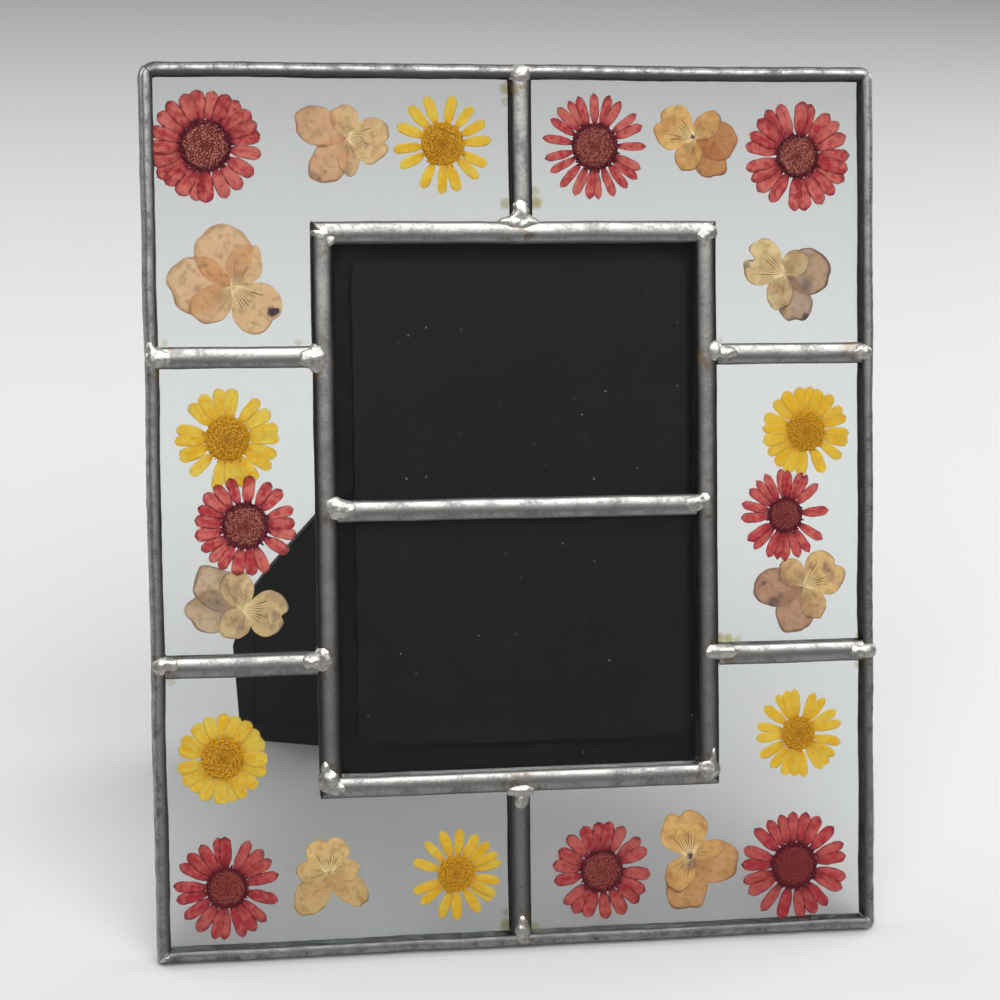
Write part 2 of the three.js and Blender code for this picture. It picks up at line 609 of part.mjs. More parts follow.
// Lean the frame back until it rests on the flat of its bottom edge, then cut the foot of
// the leg to that level and centre the whole on the origin.
upright.rotation.x = -LEAN;
model.updateMatrixWorld(true);
const bottomEdge = upright.getObjectByName("edge_lead_bottom");
upright.position.z = -new THREE.Box3().setFromObject(bottomEdge, true).min.z;
model.updateMatrixWorld(true);
const below = toSolid(block([-FAR, -FAR, -FAR], [FAR, FAR, 0]));
const toLeg = leg.matrixWorld.clone().invert();
const standing = toSolid(leg.geometry).subtract(below.transform(toLeg.elements));
leg.geometry = toGeometry(standing);
model.updateMatrixWorld(true);
const box = new THREE.Box3().setFromObject(model, true);
upright.position.x -= (box.min.x + box.max.x) / 2;
upright.position.y -= (box.min.y + box.max.y) / 2;

export default model;
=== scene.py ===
# %% [markdown]
# # A pressed flower frame in leaded glass
#
# A small picture frame is made like a leaded window. Strips of lead hold cells of glass, and in
# each cell two panes press dried flowers between them. This lesson dresses the imported model of
# that frame: it takes the frame's bodies and sizes as they are, and gives every piece its look.
# The first step loads the model and moves each part's placement into its own mesh.

import math

import bmesh
import bpy
import numpy as np
from mathutils import Matrix, Vector, noise


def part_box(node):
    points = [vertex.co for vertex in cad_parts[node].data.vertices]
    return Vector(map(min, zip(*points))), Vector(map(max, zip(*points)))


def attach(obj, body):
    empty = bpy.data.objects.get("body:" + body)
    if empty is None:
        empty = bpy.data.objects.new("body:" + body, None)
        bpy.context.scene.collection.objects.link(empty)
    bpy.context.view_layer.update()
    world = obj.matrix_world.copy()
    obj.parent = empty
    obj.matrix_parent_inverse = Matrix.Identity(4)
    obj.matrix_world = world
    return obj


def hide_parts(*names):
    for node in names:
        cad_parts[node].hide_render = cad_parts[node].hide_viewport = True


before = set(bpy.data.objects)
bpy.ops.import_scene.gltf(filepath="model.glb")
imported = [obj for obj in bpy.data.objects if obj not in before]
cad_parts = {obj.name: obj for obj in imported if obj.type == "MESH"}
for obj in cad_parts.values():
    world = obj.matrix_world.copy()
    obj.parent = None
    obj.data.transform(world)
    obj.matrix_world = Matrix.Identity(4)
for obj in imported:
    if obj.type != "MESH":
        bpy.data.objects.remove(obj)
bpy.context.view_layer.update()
MM = 0.001

# %% [markdown]
# ## The frame's own axes
#
# The frame leans back on its leg, but it is far easier to draw it upright. So every piece is
# drawn in the frame's own axes, in millimetres: x to the right, n back from the front crest of
# the lead, and u up from the bottom edge. One function turns such points into the room's axes.
# The lean is known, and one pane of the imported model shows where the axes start.

# %% From the frame's own axes to the room's
LEAN = math.radians(18)
PANE_FRONT, PANE = 1.3, 1.5  # the front pane's face, and a pane's thickness
THICK = 7.4  # the lead, from crest to crest
WIDTH, HEIGHT = 194.0, 233.5
SIDE_PANE = (78.65, 156.85)  # bottom and top edges of the left middle pane

pane_low, pane_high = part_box("front_glass_middle_left")
START_Y = pane_low.y / MM - PANE_FRONT * math.cos(LEAN) - SIDE_PANE[0] * math.sin(LEAN)
START_Z = pane_high.z / MM + PANE_FRONT * math.sin(LEAN) - SIDE_PANE[1] * math.cos(LEAN)
STANDING = Matrix.Translation((0, START_Y * MM, START_Z * MM)) @ Matrix.Rotation(-LEAN, 4, "X")


def standing(points):
    """Points in the frame's own axes, in millimetres, as points in the room, in metres."""
    turned = np.asarray(points, float) @ np.array(STANDING.to_3x3()).T * MM
    return turned + np.array(STANDING.translation)


print("own axes start at", [round(v, 3) for v in (START_Y, START_Z)])

# %% [markdown]
# ## Camera
#
# The camera stands a little to the left of the frame and looks down on it. Its lens is a short
# portrait lens, so the frame's far side is only slightly smaller.

# %% Camera
CAMERA_AT = (-0.07575, -0.51377, 0.30340)
CAMERA_TURN = (68.997, -1.690, -7.586)  # degrees about X, Y and Z
LENS, SENSOR = 72, 36

camera = bpy.data.objects.new("camera", bpy.data.cameras.new("camera"))
bpy.context.collection.objects.link(camera)
camera.location = CAMERA_AT
camera.rotation_euler = [math.radians(v) for v in CAMERA_TURN]
camera.data.lens, camera.data.sensor_width = LENS, SENSOR
bpy.context.scene.camera = camera
print("lens", LENS, "mm, height of the camera", round(CAMERA_AT[2] / MM), "mm")

# %% [markdown]
# ## Room
#
# A pale floor and large soft lights are enough. Lead is a dull metal, so what it shows is mostly
# the lights themselves: a wide one overhead gives the bars their bright upper side, one high in
# front lights the flowers, two at the back light the floor that shows through the glass, and a
# small one shines on the frame's top. All stay out of the directions that the glass mirrors, and
# the world is dim, so the glass stays clear and the uprights keep their dark sides.

# %% Floor and lights
FLOOR_SIZE = 8.0
ROOM_LIGHT = 0.07
FLOOR_COLOUR = (0.43, 0.426, 0.426, 1)


def plain_material(name, colour, roughness, metallic=0.0):
    material = bpy.data.materials.new(name)
    material.use_nodes = True
    surface = material.node_tree.nodes["Principled BSDF"]
    surface.inputs["Base Color"].default_value = colour
    surface.inputs["Roughness"].default_value = roughness
    surface.inputs["Metallic"].default_value = metallic
    return material


bpy.ops.mesh.primitive_plane_add(size=FLOOR_SIZE)
floor = bpy.context.object
floor.name = "floor"
floor.data.materials.append(plain_material("pale floor", FLOOR_COLOUR, 0.9))


def soft_light(name, place, aim, size, power):
    light = bpy.data.objects.new(name, bpy.data.lights.new(name, "AREA"))
    light.data.shape = "RECTANGLE"
    light.data.size, light.data.size_y = size
    light.data.energy = power
    light.location = place
    light.rotation_euler = (Vector(aim) - Vector(place)).to_track_quat("-Z", "Y").to_euler()
    bpy.context.collection.objects.link(light)
    return light


MIDDLE, BEHIND = (0, 0, 0.11), (0, 0.12, 0)
soft_light("overhead light", (0.0, 0.6, 3.2), (0.0, 0.6, 0.0), (5.5, 4.5), 44)
soft_light("front light", (0.2, -2.2, 2.6), MIDDLE, (4.4, 2.3), 206)
soft_light("left back light", (-1.5, 0.5, 0.9), BEHIND, (1.2, 1.0), 18)
soft_light("right back light", (1.5, 0.5, 0.9), BEHIND, (1.2, 1.0), 20)
soft_light("top light", (0.05, 0.35, 0.95), BEHIND, (1.3, 0.6), 2.5)

world = bpy.data.worlds.new("pale room")
world.use_nodes = True
room = world.node_tree.nodes["Background"].inputs
room["Color"].default_value = (1, 0.99, 0.98, 1)
room["Strength"].default_value = ROOM_LIGHT
bpy.context.scene.world = world
bpy.context.scene.view_settings.view_transform = "Standard"

# %% [markdown]
# ## Making and keeping pieces
#
# Every piece is drawn in the frame's own axes and then stood up in the room. A Geometry Nodes
# tree can't do that last step for a piece that must sit at the room's origin, so a tree is run
# on a holder object, its result is kept as a plain mesh, and the holder is thrown away. Then the
# points are moved, and the finished mesh gets an object that rides on the frame or on the leg.

# %% Helpers for meshes
def new_mesh(name, points, faces, smooth=True):
    """A mesh in the frame's own axes, in millimetres."""
    mesh = bpy.data.meshes.new(name)
    mesh.from_pydata([tuple(p) for p in points], [], [tuple(f) for f in faces])
    mesh.polygons.foreach_set("use_smooth", [smooth] * len(mesh.polygons))
    mesh.update()
    return mesh


def mesh_points(mesh):
    flat = np.empty(len(mesh.vertices) * 3)
    mesh.vertices.foreach_get("co", flat)
    return flat.reshape(-1, 3)


def set_points(mesh, points):
    mesh.vertices.foreach_set("co", np.asarray(points, float).ravel())
    mesh.update()


def point_values(mesh, name, values):
    mesh.attributes.new(name, "FLOAT", "POINT").data.foreach_set("value", list(values))


def joined(name, meshes):
    """One mesh object out of several meshes, with their materials and attributes."""
    parts = [bpy.data.objects.new(name, mesh) for mesh in meshes]
    for part in parts:
        bpy.context.collection.objects.link(part)
    bpy.ops.object.select_all(action="DESELECT")
    for part in parts:
        part.select_set(True)
    bpy.context.view_layer.objects.active = parts[0]
    if len(parts) > 1:
        bpy.ops.object.join()
    return parts[0]


def keep(name, meshes, packed, body="frame"):
    """Stands the meshes up as one piece that rides on a body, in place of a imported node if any."""
    piece = joined(name, meshes)
    placed = standing(mesh_points(piece.data))
    placed[:, 2] = np.maximum(placed[:, 2], 0)  # nothing sinks into the table
    set_points(piece.data, placed)
    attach(piece, body)
    if packed:
        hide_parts(packed)
    return piece

# %% [markdown]
# ## Short words for nodes
#
# A tree of nodes is a drawing, and written out in full it takes a page for a simple sum. So each
# node that is used often gets a short word: times, plus and minus for sums, and vector and split
# for directions. A socket knows the tree it is in, so these words take sockets and no tree.

# %% Helpers for node trees
def wire(made, inputs):
    """Links a node's inputs to sockets, or sets them to values, by name or place."""
    for key, value in dict(inputs).items():
        if isinstance(value, bpy.types.NodeSocket):
            made.id_data.links.new(value, made.inputs[key])
        else:
            made.inputs[key].default_value = value


def node(tree, kind, inputs=(), **settings):
    """A new node with its settings and its inputs."""
    made = tree.nodes.new(kind)
    for key, value in settings.items():
        setattr(made, key, value)
    wire(made, inputs)
    return made


def tree_of(values):
    """A socket knows the tree it is in, so a sum needs no other word of it."""
    return next(value.id_data for value in values if isinstance(value, bpy.types.NodeSocket))


def calc(operation, *values):
    """The result of a Math node."""
    return node(tree_of(values), "ShaderNodeMath", enumerate(values), operation=operation).outputs[0]


def times(*values):
    return calc("MULTIPLY", *values)


def plus(*values):
    return calc("ADD", *values)


def minus(*values):
    return calc("SUBTRACT", *values)


def vector(*values):
    """One vector out of x, y and z."""
    return node(tree_of(values), "ShaderNodeCombineXYZ", enumerate(values)).outputs[0]


def split(value):
    """The x, y and z of one vector."""
    return node(value.id_data, "ShaderNodeSeparateXYZ", {0: value}).outputs


def vector_calc(operation, *values, **named):
    """The result of a Vector Math node."""
    inputs = dict(enumerate(values)) | named
    return node(tree_of(values), "ShaderNodeVectorMath", inputs, operation=operation).outputs[0]


def new_tree(name, sockets):
    """A Geometry Nodes tree with a geometry going in and out, and named inputs."""
    tree = bpy.data.node_groups.new(name, "GeometryNodeTree")
    for way in ("INPUT", "OUTPUT"):
        tree.interface.new_socket("Geometry", in_out=way, socket_type="NodeSocketGeometry")
    for label, kind in sockets.items():
        tree.interface.new_socket(label, in_out="INPUT", socket_type="NodeSocket" + kind)
    return tree, tree.nodes.new("NodeGroupInput").outputs


def realized(geometry):
    return node(geometry.id_data, "GeometryNodeRealizeInstances", {"Geometry": geometry}).outputs[0]


def end_tree(geometry, finish):
    """Ends a tree: instances made real, shaded smooth, given their material."""
    tree = geometry.id_data
    smooth = node(tree, "GeometryNodeSetShadeSmooth", {"Geometry": realized(geometry)}).outputs[0]
    painted = node(tree, "GeometryNodeSetMaterial", {"Geometry": smooth, "Material": finish})
    node(tree, "NodeGroupOutput", {"Geometry": painted.outputs[0]})


def grown(name, tree, values, start=None):
    """Runs a tree on a start mesh and keeps the result as a plain mesh."""
    holder = bpy.data.objects.new(name, start or bpy.data.meshes.new(name))
    bpy.context.collection.objects.link(holder)
    modifier = holder.modifiers.new("grow", "NODES")
    modifier.node_group = tree
    for socket in tree.interface.items_tree:
        if socket.in_out == "INPUT" and socket.name in values:
            modifier[socket.identifier] = values[socket.name]
    evaluated = holder.evaluated_get(bpy.context.evaluated_depsgraph_get())
    mesh = bpy.data.meshes.new_from_object(evaluated)
    holder.modifiers.clear()
    bpy.data.objects.remove(holder)
    return mesh

# %% [markdown]
# ## Petal finish
#
# A pressed petal is a thin dry skin. Part of the light goes through it, so where two petals
# overlap the colour deepens, and its rim dries darker. A plain colour can't do that. Here a matt
# surface is mixed with a Transparent shader of the petal's own hue, and the colour follows the
# petal's own UV map: along it from root to tip, and across it from rim to rim.

# %% Words for finishes
def new_material(name):
    """A material with its tree, its surface and the places on its piece."""
    material = bpy.data.materials.new(name)
    material.use_nodes = True
    tree = material.node_tree
    own = node(tree, "ShaderNodeTexCoord").outputs["Object"]
    return material, tree, tree.nodes["Principled BSDF"], own


def carried(tree, name):
    """A value that the mesh carries, in a material."""
    return node(tree, "ShaderNodeAttribute", attribute_name=name).outputs["Fac"]


def cloud(place, scale, detail):
    """A soft noise, from about 0.2 to 0.8."""
    inputs = {"Vector": place, "Scale": scale, "Detail": detail}
    return node(place.id_data, "ShaderNodeTexNoise", inputs).outputs[0]


def ramp(value, low, high):
    """Runs smoothly from 0 to 1 while value runs from low to high."""
    limits = {"Value": value, "From Min": low, "From Max": high}
    return node(value.id_data, "ShaderNodeMapRange", limits, interpolation_type="SMOOTHSTEP").outputs[0]


def blend(amount, first, second):
    """A colour between two others."""
    inputs = {0: amount, 6: first, 7: second}
    return node(amount.id_data, "ShaderNodeMix", inputs, data_type="RGBA").outputs[2]


def blend_value(amount, first, second):
    """A number between two others."""
    inputs = {0: amount, 2: first, 3: second}
    return node(amount.id_data, "ShaderNodeMix", inputs, data_type="FLOAT").outputs[0]


def raised(height, strength, distance):
    """A slight relief, which only bends the light."""
    inputs = {"Height": height, "Strength": strength, "Distance": distance}
    return node(height.id_data, "ShaderNodeBump", inputs).outputs[0]


# %% Petal material
TORN_GRAIN = (900, 3)  # scale and detail of the noise that tears a mark's outline
TORN_BY = 0.0014


def distance_from(own, x, n, u):
    """How far the surface is from a spot in the frame's own axes, in metres."""
    spot = tuple(standing([(x, n, u)])[0])
    inputs = {0: own, 1: spot}
    return node(own.id_data, "ShaderNodeVectorMath", inputs, operation="DISTANCE").outputs["Value"]


def marks_at(own, marks, layer):
    """1 inside the dark marks, with torn outlines."""
    torn = times(minus(cloud(own, *TORN_GRAIN), 0.5), TORN_BY)
    total = 0.0
    for x, u, radius, strength in marks:
        off = plus(distance_from(own, x, layer, u), torn)
        inside = ramp(off, radius * 1.35 * MM, radius * 0.65 * MM)
        total = calc("MAXIMUM", total, times(inside, strength))
    return total


def let_light_through(surface, colour, share):
    """Light passes a petal's front and its back face, so each face tints it only half as much."""
    tree = surface.id_data
    half_tint = node(tree, "ShaderNodeGamma", {"Color": colour, "Gamma": 0.5}).outputs[0]
    clear = node(tree, "ShaderNodeBsdfTransparent", {"Color": half_tint})
    both = node(tree, "ShaderNodeMixShader", {0: share, 1: surface.outputs[0], 2: clear.outputs[0]})
    wire(tree.nodes["Material Output"], {"Surface": both.outputs[0]})


PETAL_MOTTLE, PETAL_STRIPES = (620, 5), (1.0, 2)  # scale and detail
STRIPE_STRETCH = (1.2, 14, 1)  # stripes run along the petal
SHADE_SHARE, MOTTLE_SHARE, STRIPE_SHARE = 0.35, 0.45, 0.35  # of the petal's tone
RIM_DEPTH = 0.65


def petal_material(name, light, dark, rim, see_through, root):
    material, tree, surface, own = new_material(name)
    place = node(tree, "ShaderNodeUVMap", uv_map="petal").outputs[0]
    along, side, _ = split(place)
    across = calc("ABSOLUTE", minus(side, 0.5))
    mottle = cloud(own, *PETAL_MOTTLE)
    stretched = node(tree, "ShaderNodeMapping", {"Vector": place, "Scale": STRIPE_STRETCH}).outputs[0]
    stripes = cloud(stretched, *PETAL_STRIPES)
    tone = plus(times(carried(tree, "shade"), SHADE_SHARE), times(ramp(mottle, 0.38, 0.62), MOTTLE_SHARE))
    tone = plus(tone, times(ramp(stripes, 0.40, 0.64), STRIPE_SHARE))
    body = blend(ramp(tone, 0.2, 1.0), light, dark)
    body = blend(ramp(along, 0.35, 0.0), body, root)
    edge = calc("MAXIMUM", ramp(across, 0.36, 0.5), ramp(along, 0.84, 0.99))
    edge = times(edge, ramp(mottle, 0.30, 0.56))
    skin = blend(times(edge, RIM_DEPTH), body, rim)
    wire(surface, {"Base Color": skin, "Roughness": 0.75, "Specular IOR Level": 0.25})
    wire(surface, {"Normal": raised(stripes, 0.35, 0.0001)})
    let_light_through(surface, skin, see_through)
    return material

# %% [markdown]
# ## Daisies
#
# A daisy has a ring of ray florets, which we call petals, round a disc of tiny tube florets. Both
# are repeats, so a tree places them. The petals stand at angles of their own, so the tree takes
# them from points that carry each petal's turn, length and width. The disc is a rule: each
# floret turns by the golden angle from the last one, which packs a circle evenly.

# %% Words for the steps of a tree
def position(tree):
    return node(tree, "GeometryNodeInputPosition").outputs[0]


def attribute(tree, name):
    """A value that each point carries, in a Geometry Nodes tree."""
    return node(tree, "GeometryNodeInputNamedAttribute", {"Name": name}, data_type="FLOAT").outputs[0]


def stored(geometry, name, value):
    """Gives each point a value to carry."""
    inputs = {"Geometry": geometry, "Name": name, "Value": value}
    return node(
        geometry.id_data, "GeometryNodeStoreNamedAttribute", inputs, data_type="FLOAT", domain="POINT"
    ).outputs[0]


def moved(geometry, **where):
    """Moves the points to a Position or by an Offset."""
    return node(geometry.id_data, "GeometryNodeSetPosition", {"Geometry": geometry, **where}).outputs[0]


def rippled(geometry, amount, scale, seed):
    """Pushes the points about by a smooth noise."""
    tree = geometry.id_data
    spot = vector_calc("ADD", position(tree), vector(seed, seed, seed))
    wave = node(tree, "ShaderNodeTexNoise", {"Vector": spot, "Scale": scale, "Detail": 1}).outputs["Color"]
    centred = vector_calc("SUBTRACT", wave, (0.5, 0.5, 0.5))
    return moved(geometry, Offset=vector_calc("SCALE", centred, Scale=amount))


def shape_of(blank):
    """The shape of an object that is given to a tree."""
    return node(blank.id_data, "GeometryNodeObjectInfo", {"Object": blank}).outputs["Geometry"]


def copies(points, shape, turn, size):
    """A copy of the shape on each point, turned about its axes and scaled."""
    tree = points.id_data
    rotation = node(tree, "FunctionNodeEulerToRotation", {0: turn}).outputs[0]
    inputs = {"Points": points, "Instance": shape, "Rotation": rotation, "Scale": size}
    return node(tree, "GeometryNodeInstanceOnPoints", inputs).outputs[0]


def chance_between(low, high, seed):
    """A number of its own for each point."""
    inputs = {2: low, 3: high, "Seed": seed}
    return node(seed.id_data, "FunctionNodeRandomValue", inputs, data_type="FLOAT").outputs[1]


def keep_aside(mesh):
    """A tree takes its blanks from objects, which are thrown away at the end."""
    aside = bpy.data.objects.new(mesh.name, mesh)
    bpy.context.collection.objects.link(aside)
    return aside


# %% A blank petal and the tree that lays petals
PETAL_THICK = 0.14
ROWS, COLUMNS = 11, 6
TIP_ROWS = 1.6  # over 1, the rows crowd towards the tip
SWELLS_TO, WIDEST, NARROWEST, TIP_BOW = 0.42, 0.70, 0.14, 0.04  # shares of the length or width
TIP_FULL, TIP_KEEN = 2.6, 0.38  # powers that shape the tip's outline


def shell(grid, uv, thick, name):
    """A grid of points given a thickness along n, closed round its rim, with a UV map."""
    rows, columns = grid.shape[:2]
    top = grid.reshape(-1, 3)
    count = len(top)
    points = np.vstack([top - (0, thick / 2, 0), top + (0, thick / 2, 0)])
    faces = []
    for i in range(rows - 1):
        for j in range(columns - 1):
            a, b = i * columns + j, (i + 1) * columns + j
            faces.append((a, b, b + 1, a + 1))
            faces.append((a + count + 1, b + count + 1, b + count, a + count))
    rim = [(i, 0) for i in range(rows)] + [(rows - 1, j) for j in range(1, columns)]
    rim += [(i, columns - 1) for i in range(rows - 2, -1, -1)]
    rim += [(0, j) for j in range(columns - 2, 0, -1)]
    ring = [i * columns + j for i, j in rim]
    for a, b in zip(ring, ring[1:] + ring[:1]):
        faces.append((b, a, a + count, b + count))
    mesh = new_mesh(name, points, faces)
    layer = mesh.uv_layers.new(name="petal")
    both = np.vstack([uv.reshape(-1, 2)] * 2)
    corners = np.array([loop.vertex_index for loop in mesh.loops])
    layer.data.foreach_set("uv", both[corners].ravel())
    return mesh


def petal_blank(root, point):
    """A petal one unit long and wide, along x. point is 1 for a round tip, more for a keen one."""
    s = 1 - (1 - np.linspace(0, 1, ROWS)) ** TIP_ROWS
    t = np.linspace(-1, 1, COLUMNS)
    swell = np.clip(s / SWELLS_TO, 0, 1)
    half = root + (1 - root) * np.sin(swell * math.pi / 2)
    beyond = np.clip((s - WIDEST) / (1 - WIDEST), 0, 1)
    half = np.where(s > WIDEST, np.maximum(1 - beyond**TIP_FULL, 0) ** (TIP_KEEN * point), half)
    half = np.maximum(half, NARROWEST) / 2
    grid = np.zeros((ROWS, COLUMNS, 3))
    bow = TIP_BOW * (1 - t**2)
    grid[:, :, 0] = s[:, None] + bow[None, :] * (s[:, None] > 0.9)
    grid[:, :, 2] = half[:, None] * t[None, :]
    uv = np.stack(np.broadcast_arrays(s[:, None], (t[None, :] + 1) / 2), axis=-1)
    return shell(grid, uv, PETAL_THICK, "petal blank")


WAVE = 0.35  # how often a petal's ripple comes, per mm


def petal_tree():
    tree, given = new_tree(
        "lay petals", {"Petal": "Object", "Ripple": "Float", "Seed": "Int", "Finish": "Material"}
    )
    turn, tilt, long, wide = (attribute(tree, name) for name in ("turn", "tilt", "long", "wide"))
    angles, size = vector(tilt, times(turn, -1), 0.0), vector(long, 1.0, wide)
    petals = realized(copies(given["Geometry"], shape_of(given["Petal"]), angles, size))
    end_tree(rippled(petals, given["Ripple"], WAVE, given["Seed"]), given["Finish"])
    return tree


PETAL_TREE = petal_tree()
print("nodes in the petal tree:", len(PETAL_TREE.nodes))

# %% The tree that packs a disc
GOLDEN_ANGLE = math.radians(137.508)


def floret_blank():
    """A tiny open bud, one unit across: a six-sided cup on the end of a stub, opening to -n."""
    rings = [(0.42, 0.9), (0.5, 0.1), (0.34, -0.35), (0.12, -0.1)]
    points = [
        (r * math.cos(a), n, r * math.sin(a))
        for r, n in rings
        for a in np.arange(6) * math.pi / 3
    ]
    faces = [
        (6 * k + j, 6 * k + (j + 1) % 6, 6 * k + 6 + (j + 1) % 6, 6 * k + 6 + j)
        for k in range(len(rings) - 1)
        for j in range(6)
    ]
    faces += [tuple(range(5, -1, -1)), tuple(range(18, 24))]
    mesh = new_mesh("floret blank", points, faces)
    point_values(mesh, "tip", np.repeat([0.0, 0.1, 1.0, 0.55], 6))
    return mesh


COLLAR = 8.0  # only the outermost florets stand up as a collar


def disc_tree():
    tree, given = new_tree(
        "pack a disc",
        {"Floret": "Object", "Count": "Int", "Radius": "Float", "Dome": "Float", "Floret size": "Float",
         "Scatter": "Float", "Seed": "Int", "Finish": "Material"},
    )
    points = node(tree, "GeometryNodePoints", {"Count": given["Count"]}).outputs[0]
    index = node(tree, "GeometryNodeInputIndex").outputs[0]
    share = calc("SQRT", calc("DIVIDE", plus(index, 0.5), given["Count"]))
    chance = chance_between(-1.0, 1.0, given["Seed"])
    stray = times(times(chance, given["Scatter"]), share)
    radius = times(given["Radius"], plus(share, stray))
    angle = plus(times(index, GOLDEN_ANGLE), stray)
    height = times(given["Dome"], minus(calc("POWER", share, 2.0), 1.0))
    spot = vector(
        times(radius, calc("COSINE", angle)),
        plus(height, times(stray, 0.6)),
        times(radius, calc("SINE", angle)),
    )
    marked = stored(stored(moved(points, Position=spot), "ring", share), "shade", chance)
    collar = calc("POWER", share, COLLAR)
    lean = plus(times(chance, 0.4), collar)
    long = plus(times(collar, plus(1.3, chance)), 1.0)
    size = vector_calc("SCALE", vector(1.0, long, 1.0), Scale=given["Floret size"])
    turn = vector(lean, minus(-math.pi / 2, angle), 0.0)
    end_tree(copies(marked, shape_of(given["Floret"]), turn, size), given["Finish"])
    return tree


DISC_TREE = disc_tree()
print("nodes in the disc tree:", len(DISC_TREE.nodes))


FLORET_GRAIN = (1500, 2)
FLORET_SHADE_DEPTH = 0.6


def disc_material(name, ring, middle, centre, tips, shade_between_florets):
    """Florets: dark at the ring, lighter between, darker again in the unopened middle, with painted shade low
    on each floret, down between the others.
    """
    material, tree, surface, own = new_material(name)
    out, chance, tip = (carried(tree, label) for label in ("ring", "shade", "tip"))
    tone = blend(ramp(out, 0.05, 0.35), centre, middle)
    tone = blend(ramp(out, 0.72, 0.84), tone, ring)
    light = times(ramp(tip, 0.15, 0.8), ramp(chance, -1.4, 0.6))
    light = times(light, ramp(cloud(own, *FLORET_GRAIN), 0.33, 0.52))
    shown = times(ramp(out, 0.96, 0.66), ramp(out, -0.1, 0.35))
    tone = blend(times(light, shown), tone, tips)
    # painted shade: the lower parts of every floret, down between the others, are darkened
    tone = blend(times(ramp(tip, 0.45, 0.0), FLORET_SHADE_DEPTH), tone, shade_between_florets)
    wire(surface, {"Base Color": tone, "Roughness": 0.85, "Specular IOR Level": 0.1})
    return material

# %% [markdown]
# ## Where the lead joins
#
# Lead strips only meet at their ends, and a lump of solder on each face ties every joint. The
# lumps are the handmade part of this frame, so no two are alike: each is a few flattened blobs
# that ran together while they were hot. They are listed by the strip whose end they cover,
# because flux, which is brushed on before soldering, also leaves its amber trace around them.

# %% Solder joints: x, u, half width, half height, rise, turn in degrees
JOINTS = {
    "bar_top": [
        [(1.3, 230.4, 2.8, 2.8, 1.0, 0), (2.6, 231.8, 1.3, 1.1, 0.7, 20)],
        [(0.9, 192.2, 4.2, 2.3, 0.7, 0), (1.2, 195.2, 2.3, 3.8, 0.8, 0), (-2.8, 192.6, 2.4, 1.1, 0.4, 20),
         (4.4, 192.4, 2.0, 1.0, 0.4, -20)],
    ],
    "opening_lead_top": [
        [(-50.9, 189.4, 2.9, 2.7, 0.35, 0), (-48.6, 187.5, 2.3, 1.0, 0.5, 45)],
        [(50.7, 189.6, 2.9, 2.7, 0.9, 0), (49.4, 188.0, 2.6, 1.2, 0.7, -42)],
    ],
    "opening_lead_bottom": [
        [(-51.2, 46.6, 2.9, 3.6, 1.0, 0), (-49.2, 44.5, 3.2, 1.8, 0.8, 10), (-52.3, 50.2, 1.2, 2.8, 0.6, 0)],
        [(50.3, 46.0, 3.1, 3.2, 0.9, 0), (51.6, 50.2, 0.9, 2.9, 0.6, 0)],
    ],
    "bar_left_upper": [
        [(-94.0, 157.8, 2.5, 2.9, 1.3, 0), (-91.5, 157.6, 2.2, 2.1, 0.9, 0),
         (-95.3, 160.4, 0.9, 2.1, 0.5, 0)],
        [(-52.5, 157.4, 2.3, 4.1, 1.1, 0), (-55.3, 157.4, 2.7, 2.4, 1.0, 0)],
    ],
    "bar_left_lower": [
        [(-94.3, 78.4, 2.2, 2.6, 1.0, 0), (-91.6, 78.5, 2.3, 1.8, 0.8, 0)],
        [(-52.1, 78.8, 2.4, 3.9, 1.1, 0), (-55.3, 78.4, 3.4, 2.3, 1.0, 6)],
    ],
    "bar_right_upper": [
        [(52.5, 158.2, 2.3, 2.8, 1.1, 0), (56.3, 157.6, 3.6, 1.9, 1.0, 0)],
        [(93.1, 157.5, 3.0, 2.3, 1.2, 0)],
    ],
    "bar_right_lower": [
        [(54.0, 77.5, 5.0, 2.1, 1.1, 0), (51.1, 77.9, 1.9, 2.8, 0.8, 0)],
        [(94.3, 76.7, 2.7, 2.2, 1.1, 0), (91.0, 76.8, 1.9, 1.9, 0.8, 0)],
    ],
    "photo_bar": [
        [(-49.3, 118.3, 2.6, 3.3, 0.9, 0), (-46.7, 117.9, 3.3, 2.4, 1.0, 4),
         (-44.3, 117.7, 1.3, 2.2, 0.8, 0)],
        [(50.0, 118.4, 2.2, 2.9, 0.8, 0), (47.0, 117.6, 3.6, 2.2, 1.0, 0), (48.7, 119.7, 1.7, 0.6, 1.2, 38)],
    ],
    "bar_bottom": [
        [(-0.8, 4.5, 2.3, 2.8, 1.1, 0), (-0.8, 7.2, 1.5, 2.2, 0.8, 0), (-0.3, 1.8, 1.8, 1.0, 0.5, 0)],
        [(-0.8, 42.3, 3.9, 1.8, 1.0, 0), (-0.8, 39.6, 2.1, 2.7, 1.0, 0)],
    ],
}
JOINT_PLACES = [joint[0][:2] for joints in JOINTS.values() for joint in joints]
print("solder joints on each face:", len(JOINT_PLACES))


def near_joints(own, near, far):
    """1 close to any joint, falling to 0 further off. Distances are in metres."""
    nearest = far
    for x, u in JOINT_PLACES:
        nearest = calc("MINIMUM", nearest, distance_from(own, x, 0, u))
    return ramp(nearest, far, near)

# %% [markdown]
# ## Lead and solder finishes
#
# Lead comes out of the mill shiny and dulls to a soft grey within weeks. Handling burnishes it
# here and there, so both the colour and the roughness of this metal wander. Solder is mostly
# tin, which stays bright. Two noises do it: a broad one for the patina and a fine one for the
# speckle, and the same fine one raises a slight grain.

# %% Lead and solder
PATINA_DETAIL, SPECKLE_DETAIL = 4, 3
BROAD_SHARE, FINE_SHARE = 0.6, 0.4  # of the patina
FLUX_COLOUR, FLUX_DEPTH = (0.11, 0.07, 0.03, 1), 0.6
FLUX_SPOTS = (330, 4)


def grey(red, green, blue):
    return (red, green, blue, 1)


